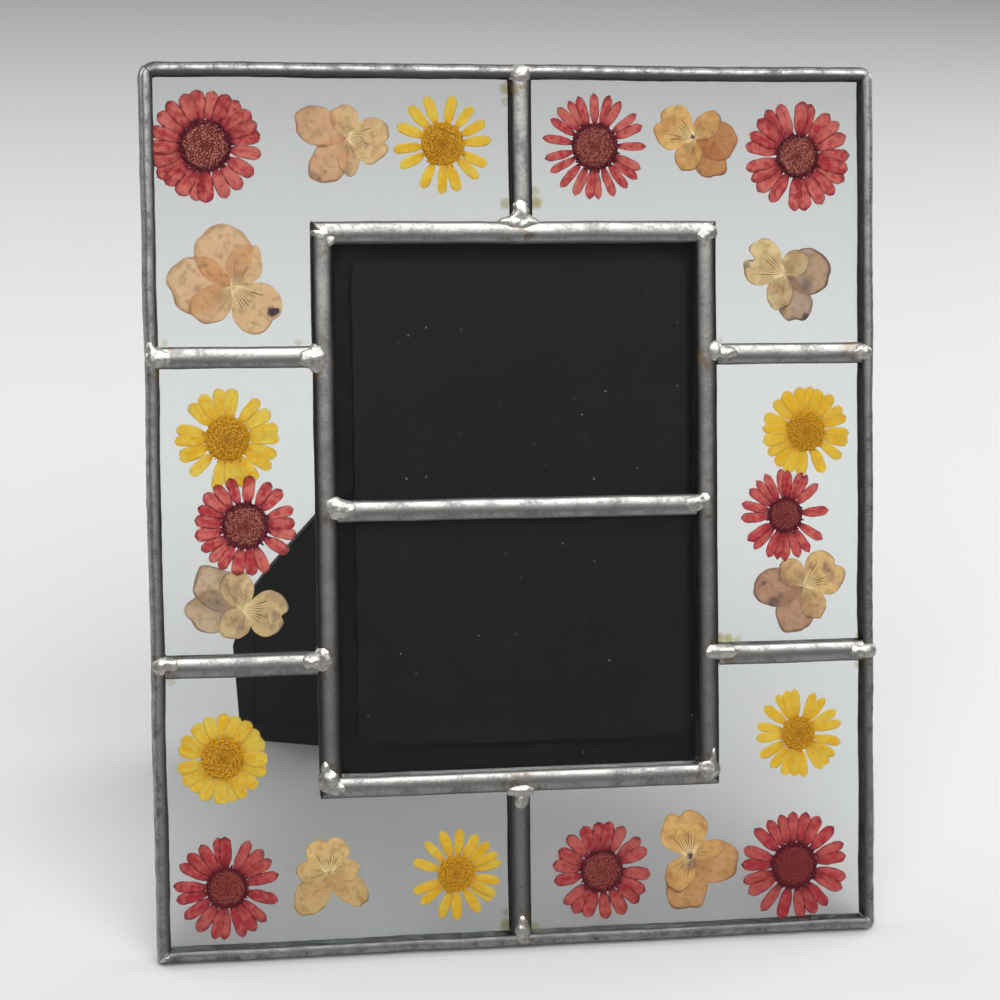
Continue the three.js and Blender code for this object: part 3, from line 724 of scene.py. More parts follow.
def metal_material(name, pale, dark, side, shaded_from, rough, patch, grain, stained=True):
    """rough is from polished to dull; side is painted shade, a darker colour on the flanks from shaded_from
    on.
    """
    material, tree, surface, own = new_material(name)
    broad, fine = cloud(own, patch, PATINA_DETAIL), cloud(own, grain, SPECKLE_DETAIL)
    worn = ramp(plus(times(broad, BROAD_SHARE), times(fine, FINE_SHARE)), 0.33, 0.60)
    tone = blend(ramp(carried(tree, "lip"), shaded_from, 0.95), blend(worn, dark, pale), side)
    if stained:
        flux = times(near_joints(own, 0.0045, 0.0065), ramp(cloud(own, *FLUX_SPOTS), 0.52, 0.62))
        tone = blend(times(flux, FLUX_DEPTH), tone, FLUX_COLOUR)
    limits = {"Value": worn, "To Min": rough[1], "To Max": rough[0]}
    dull = node(tree, "ShaderNodeMapRange", limits).outputs[0]
    wire(surface, {"Base Color": tone, "Roughness": dull, "Metallic": 1.0})
    wire(surface, {"Normal": raised(fine, 0.25, 0.00008)})
    return material


LEAD = {  # the flanks get painted shade, darkest on the uprights
    along: metal_material(
        "aged lead " + along, grey(0.24, 0.235, 0.226), grey(0.12, 0.119, 0.117), side, shaded_from,
        (0.33, 0.47), 140, 1100,
    )
    for along, side, shaded_from in (
        ("right", grey(0.125, 0.124, 0.122), 0.7), ("up", grey(0.04, 0.04, 0.041), 0.05)
    )
}
# painted shade: the inner half of the edge lead's face, towards the glass, is darker
EDGE_LEAD = metal_material(
    "aged edge lead", grey(0.26, 0.256, 0.252), grey(0.085, 0.085, 0.086), grey(0.07, 0.07, 0.07), 0.4,
    (0.38, 0.56), 260, 1500,
)
SOLDER = metal_material(
    "solder", grey(0.40, 0.39, 0.37), grey(0.17, 0.163, 0.15), grey(0.17, 0.163, 0.15), 0.5,
    (0.34, 0.50), 420, 1700, stained=False,
)
print("metals", [*(metal.name for metal in LEAD.values()), EDGE_LEAD.name, SOLDER.name])

# %% [markdown]
# ## Straight lead
#
# Lead is drawn through a die, so every length has one section from end to end: an H with two
# domed faces and a thin heart, and a channel on each side for the glass. That is a profile
# along a path, which Geometry Nodes make with Curve to Mesh. The tree then leans each end to its
# mitre and ripples the whole, because lead is soft and takes the marks of the hand.

# %% Sections of the lead
FACE, HEART = 5.6, 1.2
DOME_DROP, CHANNEL = 1.0, 1.2  # the lip's edge below the crest, and the channel's wall


def domed_face(steps=14):
    """Across and depth of one face, from lip to lip."""
    turn = np.linspace(-math.pi / 2, math.pi / 2, steps)
    dome = [(FACE / 2 * math.sin(t), DOME_DROP * (1 - math.cos(t))) for t in turn]
    return [(-FACE / 2 + 0.1, CHANNEL)] + dome + [(FACE / 2 - 0.1, CHANNEL)]


def h_section():
    front = domed_face()
    web = [(HEART / 2, CHANNEL), (HEART / 2, THICK - CHANNEL)]
    back = [(a, THICK - n) for a, n in reversed(front)]
    return front + web + back + [(-HEART / 2, THICK - CHANNEL), (-HEART / 2, CHANNEL)]


def t_section():
    """The bar over the photo has no rear face."""
    foot = PANE_FRONT + PANE
    return domed_face() + [
        (HEART / 2, CHANNEL), (HEART / 2, foot), (-HEART / 2, foot), (-HEART / 2, CHANNEL)
    ]


def section_object(name, outline):
    curve = bpy.data.curves.new(name, "CURVE")
    curve.dimensions = "3D"
    spline = curve.splines.new("POLY")
    spline.points.add(len(outline) - 1)
    for point, (a, n) in zip(spline.points, outline):
        point.co = (a, n, 0, 1)
    spline.use_cyclic_u = True
    return keep_aside(curve)


BEND_WAVE, DENT_WAVE = 0.05, 0.35  # how often the bends and the dents come, per mm
DENT_SHARE = 0.3  # how deep a dent is beside a bend


def lead_tree():
    tree, given = new_tree(
        "draw lead",
        {"Section": "Object", "Length": "Float", "Station": "Float", "Start slope": "Float",
         "End slope": "Float", "Ripple": "Float", "Seed": "Float", "Finish": "Material"},
    )
    line = node(tree, "GeometryNodeCurvePrimitiveLine", {"End": vector(0.0, 0.0, given["Length"])})
    inputs = {"Curve": line.outputs[0], "Length": given["Station"]}
    path = node(tree, "GeometryNodeResampleCurve", inputs, mode="LENGTH").outputs[0]
    inputs = {"Curve": path, "Profile Curve": shape_of(given["Section"]), "Fill Caps": True}
    drawn = node(tree, "GeometryNodeCurveToMesh", inputs).outputs[0]
    across, _, run = split(position(tree))
    slope = blend_value(calc("DIVIDE", run, given["Length"]), given["Start slope"], given["End slope"])
    marked = stored(drawn, "lip", calc("DIVIDE", calc("ABSOLUTE", across), FACE / 2))
    mitred = moved(marked, Offset=vector(0.0, 0.0, times(across, slope)))
    bent = rippled(mitred, given["Ripple"], BEND_WAVE, given["Seed"])
    dented = rippled(bent, times(given["Ripple"], DENT_SHARE), DENT_WAVE, given["Seed"])
    end_tree(dented, given["Finish"])
    return tree


LEAD_TREE = lead_tree()
print("nodes in the lead tree:", len(LEAD_TREE.nodes))

# %% [markdown]
# ## Melted solder
#
# Blobs that run together have no edge between them. Turned into a volume and back into a mesh,
# a few flattened balls become one smooth lump, as a liquid would. The lump's underside is then
# pushed up to just above the glass, where the real solder spread over the lead's face and stopped.

# %% The tree that melts blobs together
GLASS_CLEAR = 1.22  # solder stops at this depth, above the pane


SET_SHAPES = ((0.6, 0.35), (0.09, 1.1))  # how far the solder set from a smooth lump, and how often
BLUR_STEPS = 22
SKIN = 0.05  # the volume's threshold


def solder_tree():
    tree, given = new_tree(
        "melt solder", {"Voxel": "Float", "Floor": "Float", "Seed": "Float", "Finish": "Material"}
    )
    ball = node(tree, "GeometryNodeMeshIcoSphere", {"Radius": 1.0, "Subdivisions": 4}).outputs[0]
    half_x, rise, half_u, turn = (attribute(tree, name) for name in ("half_x", "rise", "half_u", "turn"))
    angles, size = vector(0.0, times(turn, -1), 0.0), vector(half_x, rise, half_u)
    balls = realized(copies(given["Geometry"], ball, angles, size))
    by_voxel = {"resolution_mode": "VOXEL_SIZE"}
    inputs = {"Mesh": balls, "Voxel Size": given["Voxel"]}
    volume = node(tree, "GeometryNodeMeshToVolume", inputs, **by_voxel).outputs[0]
    inputs = {"Volume": volume, "Voxel Size": given["Voxel"], "Threshold": SKIN}
    lump = node(tree, "GeometryNodeVolumeToMesh", inputs, **by_voxel).outputs[0]
    inputs = {"Value": position(tree), "Iterations": BLUR_STEPS}
    even = node(tree, "GeometryNodeBlurAttribute", inputs, data_type="FLOAT_VECTOR").outputs[0]
    lump = moved(lump, Position=even)
    for amount, often in SET_SHAPES:
        lump = rippled(lump, amount, often, given["Seed"])
    x, n, u = split(position(tree))
    flat = moved(lump, Position=vector(x, calc("MINIMUM", n, given["Floor"]), u))
    end_tree(flat, given["Finish"])
    return tree


SOLDER_TREE = solder_tree()
BLOB_DEPTH = 1.1  # a blob's middle lies this far below the crest
FLATTEN = 0.48  # a drop this high sinks this far before it sets
SPREAD, WETTING = 1.08, 0.1  # a drop wets a little more than its outline
VOXEL = 0.22
print("nodes in the solder tree:", len(SOLDER_TREE.nodes))


def melted(blobs, seed, rear=False):
    """One joint's solder on the front or, turned over, on the rear face."""
    points = [(x, BLOB_DEPTH, u) for x, u, *_ in blobs]
    start = new_mesh("blobs", points, [])
    for column, name in ((2, "half_x"), (3, "half_u")):
        point_values(start, name, [blob[column] * SPREAD + WETTING for blob in blobs])
    point_values(start, "rise", [blob[4] * FLATTEN + BLOB_DEPTH for blob in blobs])
    point_values(start, "turn", [math.radians(blob[5]) for blob in blobs])
    values = {"Voxel": VOXEL, "Floor": GLASS_CLEAR, "Seed": seed, "Finish": SOLDER}
    lump = grown("solder", SOLDER_TREE, values, start)
    if rear:
        set_points(lump, mesh_points(lump) * (1, -1, 1) + (0, THICK, 0))
        lump.flip_normals()
    return lump


# %% Straight strips of lead with their solder
OPENING = {"left": -51.0, "right": 50.5, "bottom": 44.8, "top": 189.8}
PHOTO_BAR_AT = 117.4
EDGE_FACE, EASE = 3.6, 0.1  # the ease leaves a hair between two strips
STATION = 1.4
RIPPLE = 0.45

h_lead = section_object("h section", h_section())
t_lead = section_object("t section", t_section())


def strip(name, section, start, end, along, centre, slopes=(0, 0)):
    """A strip of lead between two places, up or to the right, on its centre line."""
    values = {
        "Section": section, "Length": end - start, "Station": STATION, "Start slope": float(slopes[0]),
        "End slope": float(slopes[1]), "Ripple": RIPPLE, "Seed": float(len(name) + centre),
        "Finish": LEAD[along],
    }
    mesh = grown(name, LEAD_TREE, values)
    across, depth, run = mesh_points(mesh).T
    if along == "up":
        points = np.column_stack([across + centre, depth, run + start])
    else:
        points = np.column_stack([run + start, depth, centre - across])
    set_points(mesh, points)
    joints = JOINTS.get(name, [])
    lumps = [melted(blobs, k + centre) for k, blobs in enumerate(joints)]
    if section is h_lead:
        lumps += [melted([blobs[0]], k + centre + 5, rear=True) for k, blobs in enumerate(joints)]
    return keep(name.replace("lead", "strip") + "_soldered", [mesh, *lumps], name)


half_face = FACE / 2 + EASE
edge_in = EDGE_FACE + EASE
left, right, bottom, top = (OPENING[side] for side in ("left", "right", "bottom", "top"))
to_left, to_right = (edge_in - WIDTH / 2, left - half_face), (right + half_face, WIDTH / 2 - edge_in)
for name, along, centre, (start, end), slopes in (
    ("opening_lead_left", "up", left, (bottom, top), (1, -1)),
    ("opening_lead_right", "up", right, (bottom, top), (-1, 1)),
    ("opening_lead_bottom", "right", bottom, (left, right), (-1, 1)),
    ("opening_lead_top", "right", top, (left, right), (1, -1)),
    ("bar_top", "up", 1.4, (top + half_face, HEIGHT - edge_in), (0, 0)),
    ("bar_bottom", "up", -1.1, (edge_in, bottom - half_face), (0, 0)),
    ("bar_left_upper", "right", 157.8, to_left, (0, 0)),
    ("bar_left_lower", "right", 77.7, to_left, (0, 0)),
    ("bar_right_upper", "right", 157.4, to_right, (0, 0)),
    ("bar_right_lower", "right", 76.9, to_right, (0, 0)),
):
    piece = strip(name, h_lead, start, end, along, centre, slopes)
strip("photo_bar", t_lead, left + half_face, right - half_face, "right", PHOTO_BAR_AT)
bpy.data.objects.remove(h_lead)
bpy.data.objects.remove(t_lead)
print("a side bar has", len(piece.data.polygons), "faces")

# %% [markdown]
# ## Edge lead
#
# The outside lead is a U, bent round the corners of the glass. A bend has its own rule: what lies
# outside the bend's radius turns about its centre, and what lies inside is pinched to a fold
# along the diagonal. So the edge is drawn in code, side by side, with a radius for each corner.

# %% Edge lead with its bent corners
CORNER = {"top_left": 4.4, "top_right": 3.6, "bottom_right": 2.2, "bottom_left": 0.5}
EDGE_HALF = [  # across from the outside, depth: half of the U, from the lip to the middle
    (1.3, 1.15), (3.5, 1.15), (3.6, 0.95), (3.55, 0.66), (3.3, 0.44), (2.9, 0.29), (2.4, 0.21),
    (1.95, 0.2), (1.5, 0.28), (1.1, 0.48), (0.85, 0.72), (0.715, 0.9), (0.48, 1.62), (0.24, 2.36),
    (0.0, 3.1),
]
BEND_STEPS = 7
EDGE_WAVES = ((0.045, 0.30), (0.3, 0.12))  # how often, per mm, and how far in mm
noise.seed_set(3)  # a fixed start, so that every run gives the lead the same waves


def edge_side(length, start_radius, end_radius, seed):
    """A side lying along s, with its outside at across 0, from diagonal to diagonal."""
    section = EDGE_HALF + [(a, THICK - n) for a, n in reversed(EDGE_HALF)]
    across = np.array([a for a, n in section])
    depth = np.array([n for a, n in section])

    def bend(radius, turn):
        reach = np.maximum(radius - across, 0)
        s = np.where(across < radius, radius - reach * math.sin(turn), across)
        a = np.where(across < radius, radius - reach * math.cos(turn), across)
        return np.column_stack([s, depth, a])

    turns = np.linspace(math.pi / 4, 0, BEND_STEPS)
    rings = [bend(start_radius, t) for t in turns]
    for s in np.arange(start_radius + STATION, length - end_radius - STATION / 2, STATION):
        run = np.clip(s, across, length - across)
        rings.append(np.column_stack([run, depth, across]))
    rings += [bend(end_radius, t) * (-1, 1, 1) + (length, 0, 0) for t in turns[::-1]]
    count = len(section)
    points = np.vstack(rings)
    near = [(k * count + j, k * count + (j + 1) % count) for k in range(len(rings) - 1) for j in range(count)]
    faces = [(a, b, b + count, a + count) for a, b in near]
    faces += [tuple(range(count - 1, -1, -1)), tuple(range(len(points) - count, len(points)))]
    for wave, amount in EDGE_WAVES:
        for point in points:
            push = noise.noise_vector(Vector(point) * wave + Vector((seed * 9.1, 0, 0)))
            point += np.array(push) * amount * (1, 0.5, 1)  # it bends less in depth
    return points, faces


def edge_piece(name, length, corners, turn, start):
    """turn is in quarter turns from lying along the bottom, seen from the front."""
    points, faces = edge_side(length, *(CORNER[c] for c in corners), turn)
    s, depth, across = points.T
    quarter = turn * math.pi / 2
    x = start[0] + s * math.cos(quarter) - across * math.sin(quarter)
    u = start[1] + s * math.sin(quarter) + across * math.cos(quarter)
    mesh = new_mesh(name, np.column_stack([x, depth, u]), faces)
    point_values(mesh, "lip", across / EDGE_FACE)
    mesh.materials.append(EDGE_LEAD)
    return keep(name.replace("lead", "strip"), [mesh], name)


half_wide = WIDTH / 2
for turn, (side, length, corners, start) in enumerate((
    ("bottom", WIDTH, ("bottom_left", "bottom_right"), (-half_wide, 0)),
    ("right", HEIGHT, ("bottom_right", "top_right"), (half_wide, 0)),
    ("top", WIDTH, ("top_right", "top_left"), (half_wide, HEIGHT)),
    ("left", HEIGHT, ("top_left", "bottom_left"), (-half_wide, HEIGHT)),
)):
    edge = edge_piece("edge_lead_" + side, length, corners, turn, start)
print("the left edge has", len(edge.data.polygons), "faces")

# %% [markdown]
# ## Glass
#
# Window glass is clear through its face and green along its edge, because the light in the edge
# has run through centimetres of it. Plain transmission and a volume absorption give both. The
# film on its face is what makes it visible: smears show where the surface is a little rougher,
# and flux has crept out from the solder.

# %% Glass
GLASS_NODES = [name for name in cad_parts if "_glass_" in name]
# flux that crept over the glass beside a joint: x, u, radius and strength
STAINS = (
    (53.4, 81.2, 1.7, 0.9), (56.1, 81.0, 1.4, 0.9), (58.6, 80.5, 1.1, 0.7), (52.2, 73.4, 1.2, 0.5),
    (-2.4, 227.0, 1.7, 0.8), (-2.2, 223.6, 1.2, 0.6), (-2.9, 197.2, 1.5, 0.7), (5.2, 197.4, 1.6, 0.9),
    (4.9, 200.4, 1.2, 0.7), (-4.9, 6.0, 1.9, 0.8), (-4.6, 9.4, 1.3, 0.6), (2.8, 5.2, 1.4, 0.8),
    (92.4, 80.3, 1.2, 0.7), (92.8, 73.2, 1.5, 0.7), (-57.5, 161.5, 0.9, 0.5), (-91.6, 161.6, 0.9, 0.5),
    (-91.8, 74.2, 1.1, 0.5), (54.4, 161.0, 0.8, 0.5),
)
CLEAR, STAIN = (0.985, 0.995, 0.99, 1), (0.50, 0.43, 0.11, 1)
EDGE_GREEN, DENSITY = (0.66, 0.90, 0.86, 1), 32.0
GLASS_IOR = 1.52
FILM_PATCHES = (55, 5)


def glass_material(name, smear, stain):
    material, tree, surface, own = new_material(name)
    film = times(ramp(cloud(own, *FILM_PATCHES), 0.55, 0.75), smear)
    tint = blend(times(marks_at(own, STAINS, PANE_FRONT), stain), CLEAR, STAIN)
    wire(surface, {"Base Color": tint, "Roughness": film, "Transmission Weight": 1.0, "IOR": GLASS_IOR})
    green = node(tree, "ShaderNodeVolumeAbsorption", {"Color": EDGE_GREEN, "Density": DENSITY})
    wire(tree.nodes["Material Output"], {"Volume": green.outputs[0]})
    return material


FLOWER_GLASS = glass_material("flower glass", 0.04, 1.0)
PHOTO_GLASS = glass_material("photo glass", 0.12, 0.2)
for name in GLASS_NODES:
    finish = PHOTO_GLASS if name.startswith("photo") else FLOWER_GLASS
    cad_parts[name].material_slots[0].material = finish
print("panes", len(GLASS_NODES))

# %% [markdown]
# ## Back, leg and pin
#
# The black pieces are moulded, so they have no sharp edge and a fine grain from the mould. Their
# imported solids have the right shape already. A copy of each gets its edges rounded, and the grain
# is a bump in the finish, with patches a little glossier where hands have rubbed them.

# %% Moulded black and steel
MOULD_DETAIL, RUBBED_PATCHES = 3, (60, 4)


def moulded_material(name, colour, grain, depth):
    material, tree, surface, own = new_material(name)
    rubbed = {"Value": cloud(own, *RUBBED_PATCHES), "To Min": 0.62, "To Max": 0.40}
    dull = node(tree, "ShaderNodeMapRange", rubbed).outputs[0]
    wire(surface, {"Base Color": colour, "Roughness": dull, "Specular IOR Level": 0.12})
    wire(surface, {"Normal": raised(cloud(own, grain, MOULD_DETAIL), 0.5, depth)})
    return material


BLACK = moulded_material("moulded black", (0.0085, 0.007, 0.0095, 1), 1700, 0.00006)
STEEL = plain_material("hinge steel", (0.55, 0.54, 0.52, 1), 0.28, 1.0)
ROUND_STEPS = 3
SHARP = math.radians(28)  # edges that turn by more than this are rounded


def rounded_copy(packed, radius, body, finish):
    """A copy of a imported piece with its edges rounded, which rides on the same body."""
    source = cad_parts[packed]
    shape = bmesh.new()
    shape.from_mesh(source.data)
    shape.transform(source.matrix_world)
    bmesh.ops.remove_doubles(shape, verts=shape.verts, dist=1e-6)
    bmesh.ops.dissolve_limit(
        shape, angle_limit=math.radians(1), verts=shape.verts, edges=shape.edges
    )
    sharp = [
        edge for edge in shape.edges
        if len(edge.link_faces) == 2 and edge.calc_face_angle() > SHARP
    ]
    bmesh.ops.bevel(
        shape, geom=sharp, offset=radius * MM, segments=ROUND_STEPS, profile=0.5, affect="EDGES",
        clamp_overlap=True,
    )
    bmesh.ops.triangulate(shape, faces=[face for face in shape.faces if len(face.verts) > 4])
    mesh = bpy.data.meshes.new("moulded_" + packed)
    shape.to_mesh(mesh)
    shape.free()
    mesh.polygons.foreach_set("use_smooth", [False] * len(mesh.polygons))
    mesh.materials.clear()
    mesh.materials.append(finish)
    piece = bpy.data.objects.new("moulded_" + packed, mesh)
    bpy.context.collection.objects.link(piece)
    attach(piece, body)
    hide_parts(packed)
    return piece


back = rounded_copy("backing_panel", 0.35, "frame", BLACK)
leg = rounded_copy("easel_leg", 0.35, "leg", BLACK)
pin = rounded_copy("hinge_pin", 0.25, "frame", STEEL)
print("faces of back, leg and pin", [len(piece.data.polygons) for piece in (back, leg, pin)])

# %% [markdown]
# ## Laying the daisies
#
# The fourteen daisies are the same build with their own petals. Each has its place in the
# frame, its reach and the angles of its petals, and a look: how keen the tips are, and whether
# the petals are pale or deep. Two lie on other flowers, which are then one layer further back.

# %% Daisies: places and petals
FRONT_LAYER, BACK_LAYER = 3.27, 3.92  # middle of the petals, between the panes

# x, u, reach, petal width, disc radius, tip keenness, depth of colour, layer, petal angles
DAISIES = {
    "red_daisy_1": (-80.3, 212.0, 14.5, 4.0, 7.0, 0.9, 0.35, FRONT_LAYER, (
        98, 111, 80, 66, 53, 36, 24, 11, -9, -31, -50, -68, -90, -101, -118, -136, -148, -163,
        -178, 163, 146, 131)),
    "red_daisy_2": (21.3, 212.2, 13.9, 2.5, 6.5, 1.3, 0.45, FRONT_LAYER, (
        90, 108, 121, 134, 150, 170, -167, -150, -131, -114, -96, -87, -70, -52, -37, -25, 1, 24,
        38, 60, 72)),
    "red_daisy_3": (76.2, 209.9, 14.6, 3.8, 6.1, 1.1, 0.4, FRONT_LAYER, (
        85, 74, 109, 126, 138, 155, 170, -167, -153, -140, -120, -94, -82, -63, -46, -27, -15, 0,
        21, 39, 53)),
    "red_daisy_4": (-72.0, 114.1, 13.3, 3.3, 6.4, 1.0, 0.4, FRONT_LAYER, (
        106, 84, 59, 43, 18, 3, -11, -34, -66, -82, -101, -121, -136, -151, -170, 173, 157, 142,
        125)),
    "red_daisy_5": (72.4, 113.9, 12.4, 2.7, 5.0, 1.5, 0.65, FRONT_LAYER, (
        95, 86, 69, 60, 43, 5, -34, -56, -73, -89, -102, -113, -134, -148, -177, 164, 145, 130,
        116)),
    "red_daisy_6": (-78.6, 19.2, 13.8, 3.4, 5.7, 1.2, 0.65, FRONT_LAYER, (
        91, 99, 120, 136, 151, 176, -167, -146, -124, -105, -94, -73, -58, -43, -17, 12, 31, 44,
        64)),
    "red_daisy_7": (21.2, 19.2, 13.5, 3.6, 6.1, 1.1, 0.6, FRONT_LAYER, (
        94, 81, 112, 132, 154, 170, -170, -141, -125, -109, -86, -63, -41, -28, -7, 24, 39, 62)),
    "red_daisy_8": (74.4, 18.3, 15.0, 3.4, 6.7, 1.2, 0.8, FRONT_LAYER, (
        91, 75, 62, 42, 22, 8, -16, -28, -52, -67, -82, -105, -127, -150, -165, 176, 161, 136, 119,
        105)),
    "yellow_daisy_1": (-19.0, 212.7, 12.9, 2.9, 5.9, 1.0, 0.3, FRONT_LAYER, (
        108, 132, 158, -174, -152, -117, -91, -73, -44, -26, 4, 26, 51, 77)),
    "yellow_daisy_2": (-76.2, 136.7, 13.5, 3.5, 6.0, 0.8, 0.1, BACK_LAYER, (
        100, 84, 119, 137, 168, -178, -158, -135, -105, -86, -70, -57, -34, -19, -1, 11, 32, 52)),
    "yellow_daisy_3": (78.4, 136.3, 12.2, 3.3, 5.5, 1.0, 0.6, BACK_LAYER, (
        99, 119, 135, 160, 176, -168, -151, -132, -116, -97, -67, -37, -15, -3, 19, 33, 52, 71,
        84)),
    "yellow_daisy_4": (-79.1, 53.3, 11.9, 3.8, 5.8, 0.9, 0.15, FRONT_LAYER, (
        88, 70, 52, 35, 19, -3, -20, -41, -63, -78, -94, -116, -136, -150, -168, 164, 151, 128,
        108)),
    "yellow_daisy_5": (-18.2, 20.1, 12.4, 2.7, 5.1, 1.4, 0.45, FRONT_LAYER, (
        107, 83, 132, 162, -159, -141, -110, -90, -61, -38, -30, -12, 12, 25, 42, 60)),
    "yellow_daisy_6": (75.7, 54.5, 12.2, 2.8, 4.9, 1.3, 0.45, FRONT_LAYER, (
        95, 105, 119, 140, 167, -175, -150, -128, -111, -95, -81, -57, -46, -33, -14, 13, 30, 52,
        68)),
}

# share of light let through, florets' scatter, and how fast the tips fade with the depth of colour;
# then light petal, dark petal, rim, petal root; disc ring, florets, middle and floret tips
RED = (
    0.62, 0.04, 1.35, (0.98, 0.36, 0.28), (0.60, 0.035, 0.065), (0.20, 0.05, 0.09), (0.60, 0.06, 0.08),
    (0.15, 0.010, 0.026), (0.38, 0.06, 0.048), (0.27, 0.04, 0.034), (0.95, 0.52, 0.38),
)
YELLOW = (
    0.40, 0.09, 0.8, (1.0, 0.79, 0.14), (0.99, 0.58, 0.01), (0.95, 0.72, 0.30), (0.97, 0.59, 0.04),
    (0.80, 0.40, 0.012), (0.60, 0.26, 0.008), (0.52, 0.21, 0.008), (0.99, 0.64, 0.08),
)


def opaque(tones):
    """The colours with their fourth value."""
    return [(*tone, 1.0) for tone in tones]


def between(low, high, share):
    return tuple(a + (b - a) * share for a, b in zip(low, high))


# %% Build each daisy
LAYERS = (-0.13, 0.0, 0.13)  # petals lie one over another in three layers
UNDER_DISC = 0.92  # petals start this share of the disc's radius out
FLORETS = 300
GAP_SHADE = 0.4  # the painted shade between florets keeps this much of the ring's colour
PETAL_ROOT, PETAL_RIPPLE = 0.40, 0.5
chance = np.random.default_rng(7)


def petal_points(x, u, layer, reach, width, disc, angles):
    """One point for each petal at the disc's rim, carrying its turn and size."""
    count = len(angles)
    turn = np.radians(angles)
    start = UNDER_DISC * disc
    points = np.zeros((count, 3))
    points[:, 0] = x + start * np.cos(turn)
    points[:, 1] = layer + np.array([LAYERS[k % 3] for k in np.argsort(np.argsort(turn))])
    points[:, 2] = u + start * np.sin(turn)
    mesh = new_mesh("petal points", points, [])
    point_values(mesh, "turn", turn + np.radians(chance.uniform(-2, 2, count)))
    point_values(mesh, "long", (reach - start) * chance.uniform(0.93, 1.0, count))
    point_values(mesh, "wide", width * chance.uniform(0.86, 1.08, count))
    point_values(mesh, "tilt", np.radians(chance.uniform(-3, 3, count)))
    point_values(mesh, "shade", chance.uniform(0, 1, count))
    return mesh


DISC_SIDES = 28


def disc_base(x, u, layer, radius, rise):
    """A flat cushion under the florets."""
    turns = np.linspace(0, 2 * math.pi, DISC_SIDES, endpoint=False)
    profile = [(0.0, -rise), (0.5, -0.8 * rise), (0.85, -0.4 * rise), (0.97, 0), (0.8, 0.3), (0.0, 0.34)]
    points, faces = [], []
    for share, n in profile:
        reach = share * radius
        ring = [(x + reach * math.cos(a), layer + n, u + reach * math.sin(a)) for a in turns]
        points += ring[:1] if share == 0 else ring
    first, last, count = 0, len(points) - 1, len(turns)
    for j in range(count):
        k = (j + 1) % count
        faces.append((first, 1 + j, 1 + k))
        faces.append((last, last - count + k, last - count + j))
        for r in range(len(profile) - 3):
            a, b = 1 + r * count, 1 + (r + 1) * count
            faces.append((a + j, b + j, b + k, a + k))
    return new_mesh("disc base", points, faces)


floret = keep_aside(floret_blank())
DISC_RISE = 0.30
FLORET_SIZE = 0.64 / 6  # of a disc's radius


def build_daisy(name, x, u, reach, width, disc, point, depth, layer, angles):
    kind = RED if name.startswith("red") else YELLOW
    through, scatter, tip_fade, light, dark, rim, root, ring, florets, middle, tips = kind
    light, root = between(light, dark, depth * 0.7), between(root, ring, 0.4 * depth)
    tips = between(tips, florets, min(tip_fade * depth, 1))  # before the florets darken
    florets, shade_between_florets = between(florets, ring, depth * 0.6), between((0, 0, 0), ring, GAP_SHADE)
    light, dark, rim, root = opaque((light, dark, rim, root))
    petals = petal_material(name + " petals", light, dark, rim, through, root)
    heart = disc_material(name + " disc", *opaque((ring, florets, middle, tips, shade_between_florets)))
    blank = keep_aside(petal_blank(PETAL_ROOT, point))
    start = petal_points(x, u, layer, reach, width, disc, angles)
    values = {"Petal": blank, "Ripple": PETAL_RIPPLE, "Seed": len(angles), "Finish": petals}
    laid = grown(name, PETAL_TREE, values, start)
    bpy.data.objects.remove(blank)
    values = {
        "Floret": floret, "Count": FLORETS, "Radius": disc * 0.96, "Dome": DISC_RISE, "Scatter": scatter,
        "Floret size": FLORET_SIZE * disc, "Seed": int(abs(x)), "Finish": heart,
    }
    packed = grown(name, DISC_TREE, values)
    set_points(packed, mesh_points(packed) + (x, layer, u))
    base = disc_base(x, u, layer, disc * 0.98, DISC_RISE * 0.7)
    base.materials.append(heart)
    point_values(base, "ring", np.hypot(*(mesh_points(base)[:, ::2] - (x, u)).T) / disc)
    return keep("pressed_" + name, [laid, packed, base], name)


for name, spec in DAISIES.items():
    daisy = build_daisy(name, *spec)
bpy.data.objects.remove(floret)
print("daisies", len(DAISIES), "the last with", len(daisy.data.polygons), "faces")

# %% [markdown]
# ## Violas
#
# A viola has five petals and no disc: a broad lip, two small side petals and two larger back
# petals behind them, all from one eye. No two petals are the same shape, so each is drawn from
# its own length and width: an oval that narrows to the eye, with a ruffled rim, and a notch in
# the lip. Pressed and dry they are like tissue, so the veins and the overlaps show through.

# %% Veins and other marks of a viola
VEINS = 16
VEIN_WANDER = (380, 1)
EYE_YELLOW = (0.99, 0.78, 0.42, 1)
MARK = (0.13, 0.075, 0.095, 1)


def vein_lines(along, fan, own):
    """Short dark lines that fan out from the eye, each of its own length."""
    tree = own.id_data
    turn = plus(fan, times(minus(cloud(own, *VEIN_WANDER), 0.5), 0.05))
    wave = calc("ABSOLUTE", calc("SINE", times(turn, VEINS * math.pi)))
    inputs = {"W": times(fan, VEINS * 1.4), "Scale": 1.0}
    lot = node(tree, "ShaderNodeTexNoise", inputs, noise_dimensions="1D").outputs[0]
    limits = {"Value": lot, "From Min": 0.3, "From Max": 0.7, "To Min": 0.34, "To Max": 0.66}
    reach = node(tree, "ShaderNodeMapRange", limits).outputs[0]
    line = times(ramp(wave, 0.70, 0.30), ramp(minus(along, reach), 0.10, -0.10))
    line = times(line, ramp(along, 0.07, 0.17))
    off_axis = calc("ABSOLUTE", minus(fan, 0.5))
    return times(line, ramp(off_axis, 0.29, 0.20))


# %% Viola material
BLOTCHES, CREASES, FIBRES = (260, 5), (620, 5), (1500, 3)  # scale and detail
BLOTCH_DEPTH, CREASE_SHADE_DEPTH, GLOW_DEPTH, VEIN_DEPTH, VIOLA_RIM_DEPTH = 0.8, 0.26, 0.8, 0.95, 0.75
RIM_SHUTS, MARKS_SHUT, VEINS_SHUT = 0.4, 0.6, 0.9  # how much light these keep out


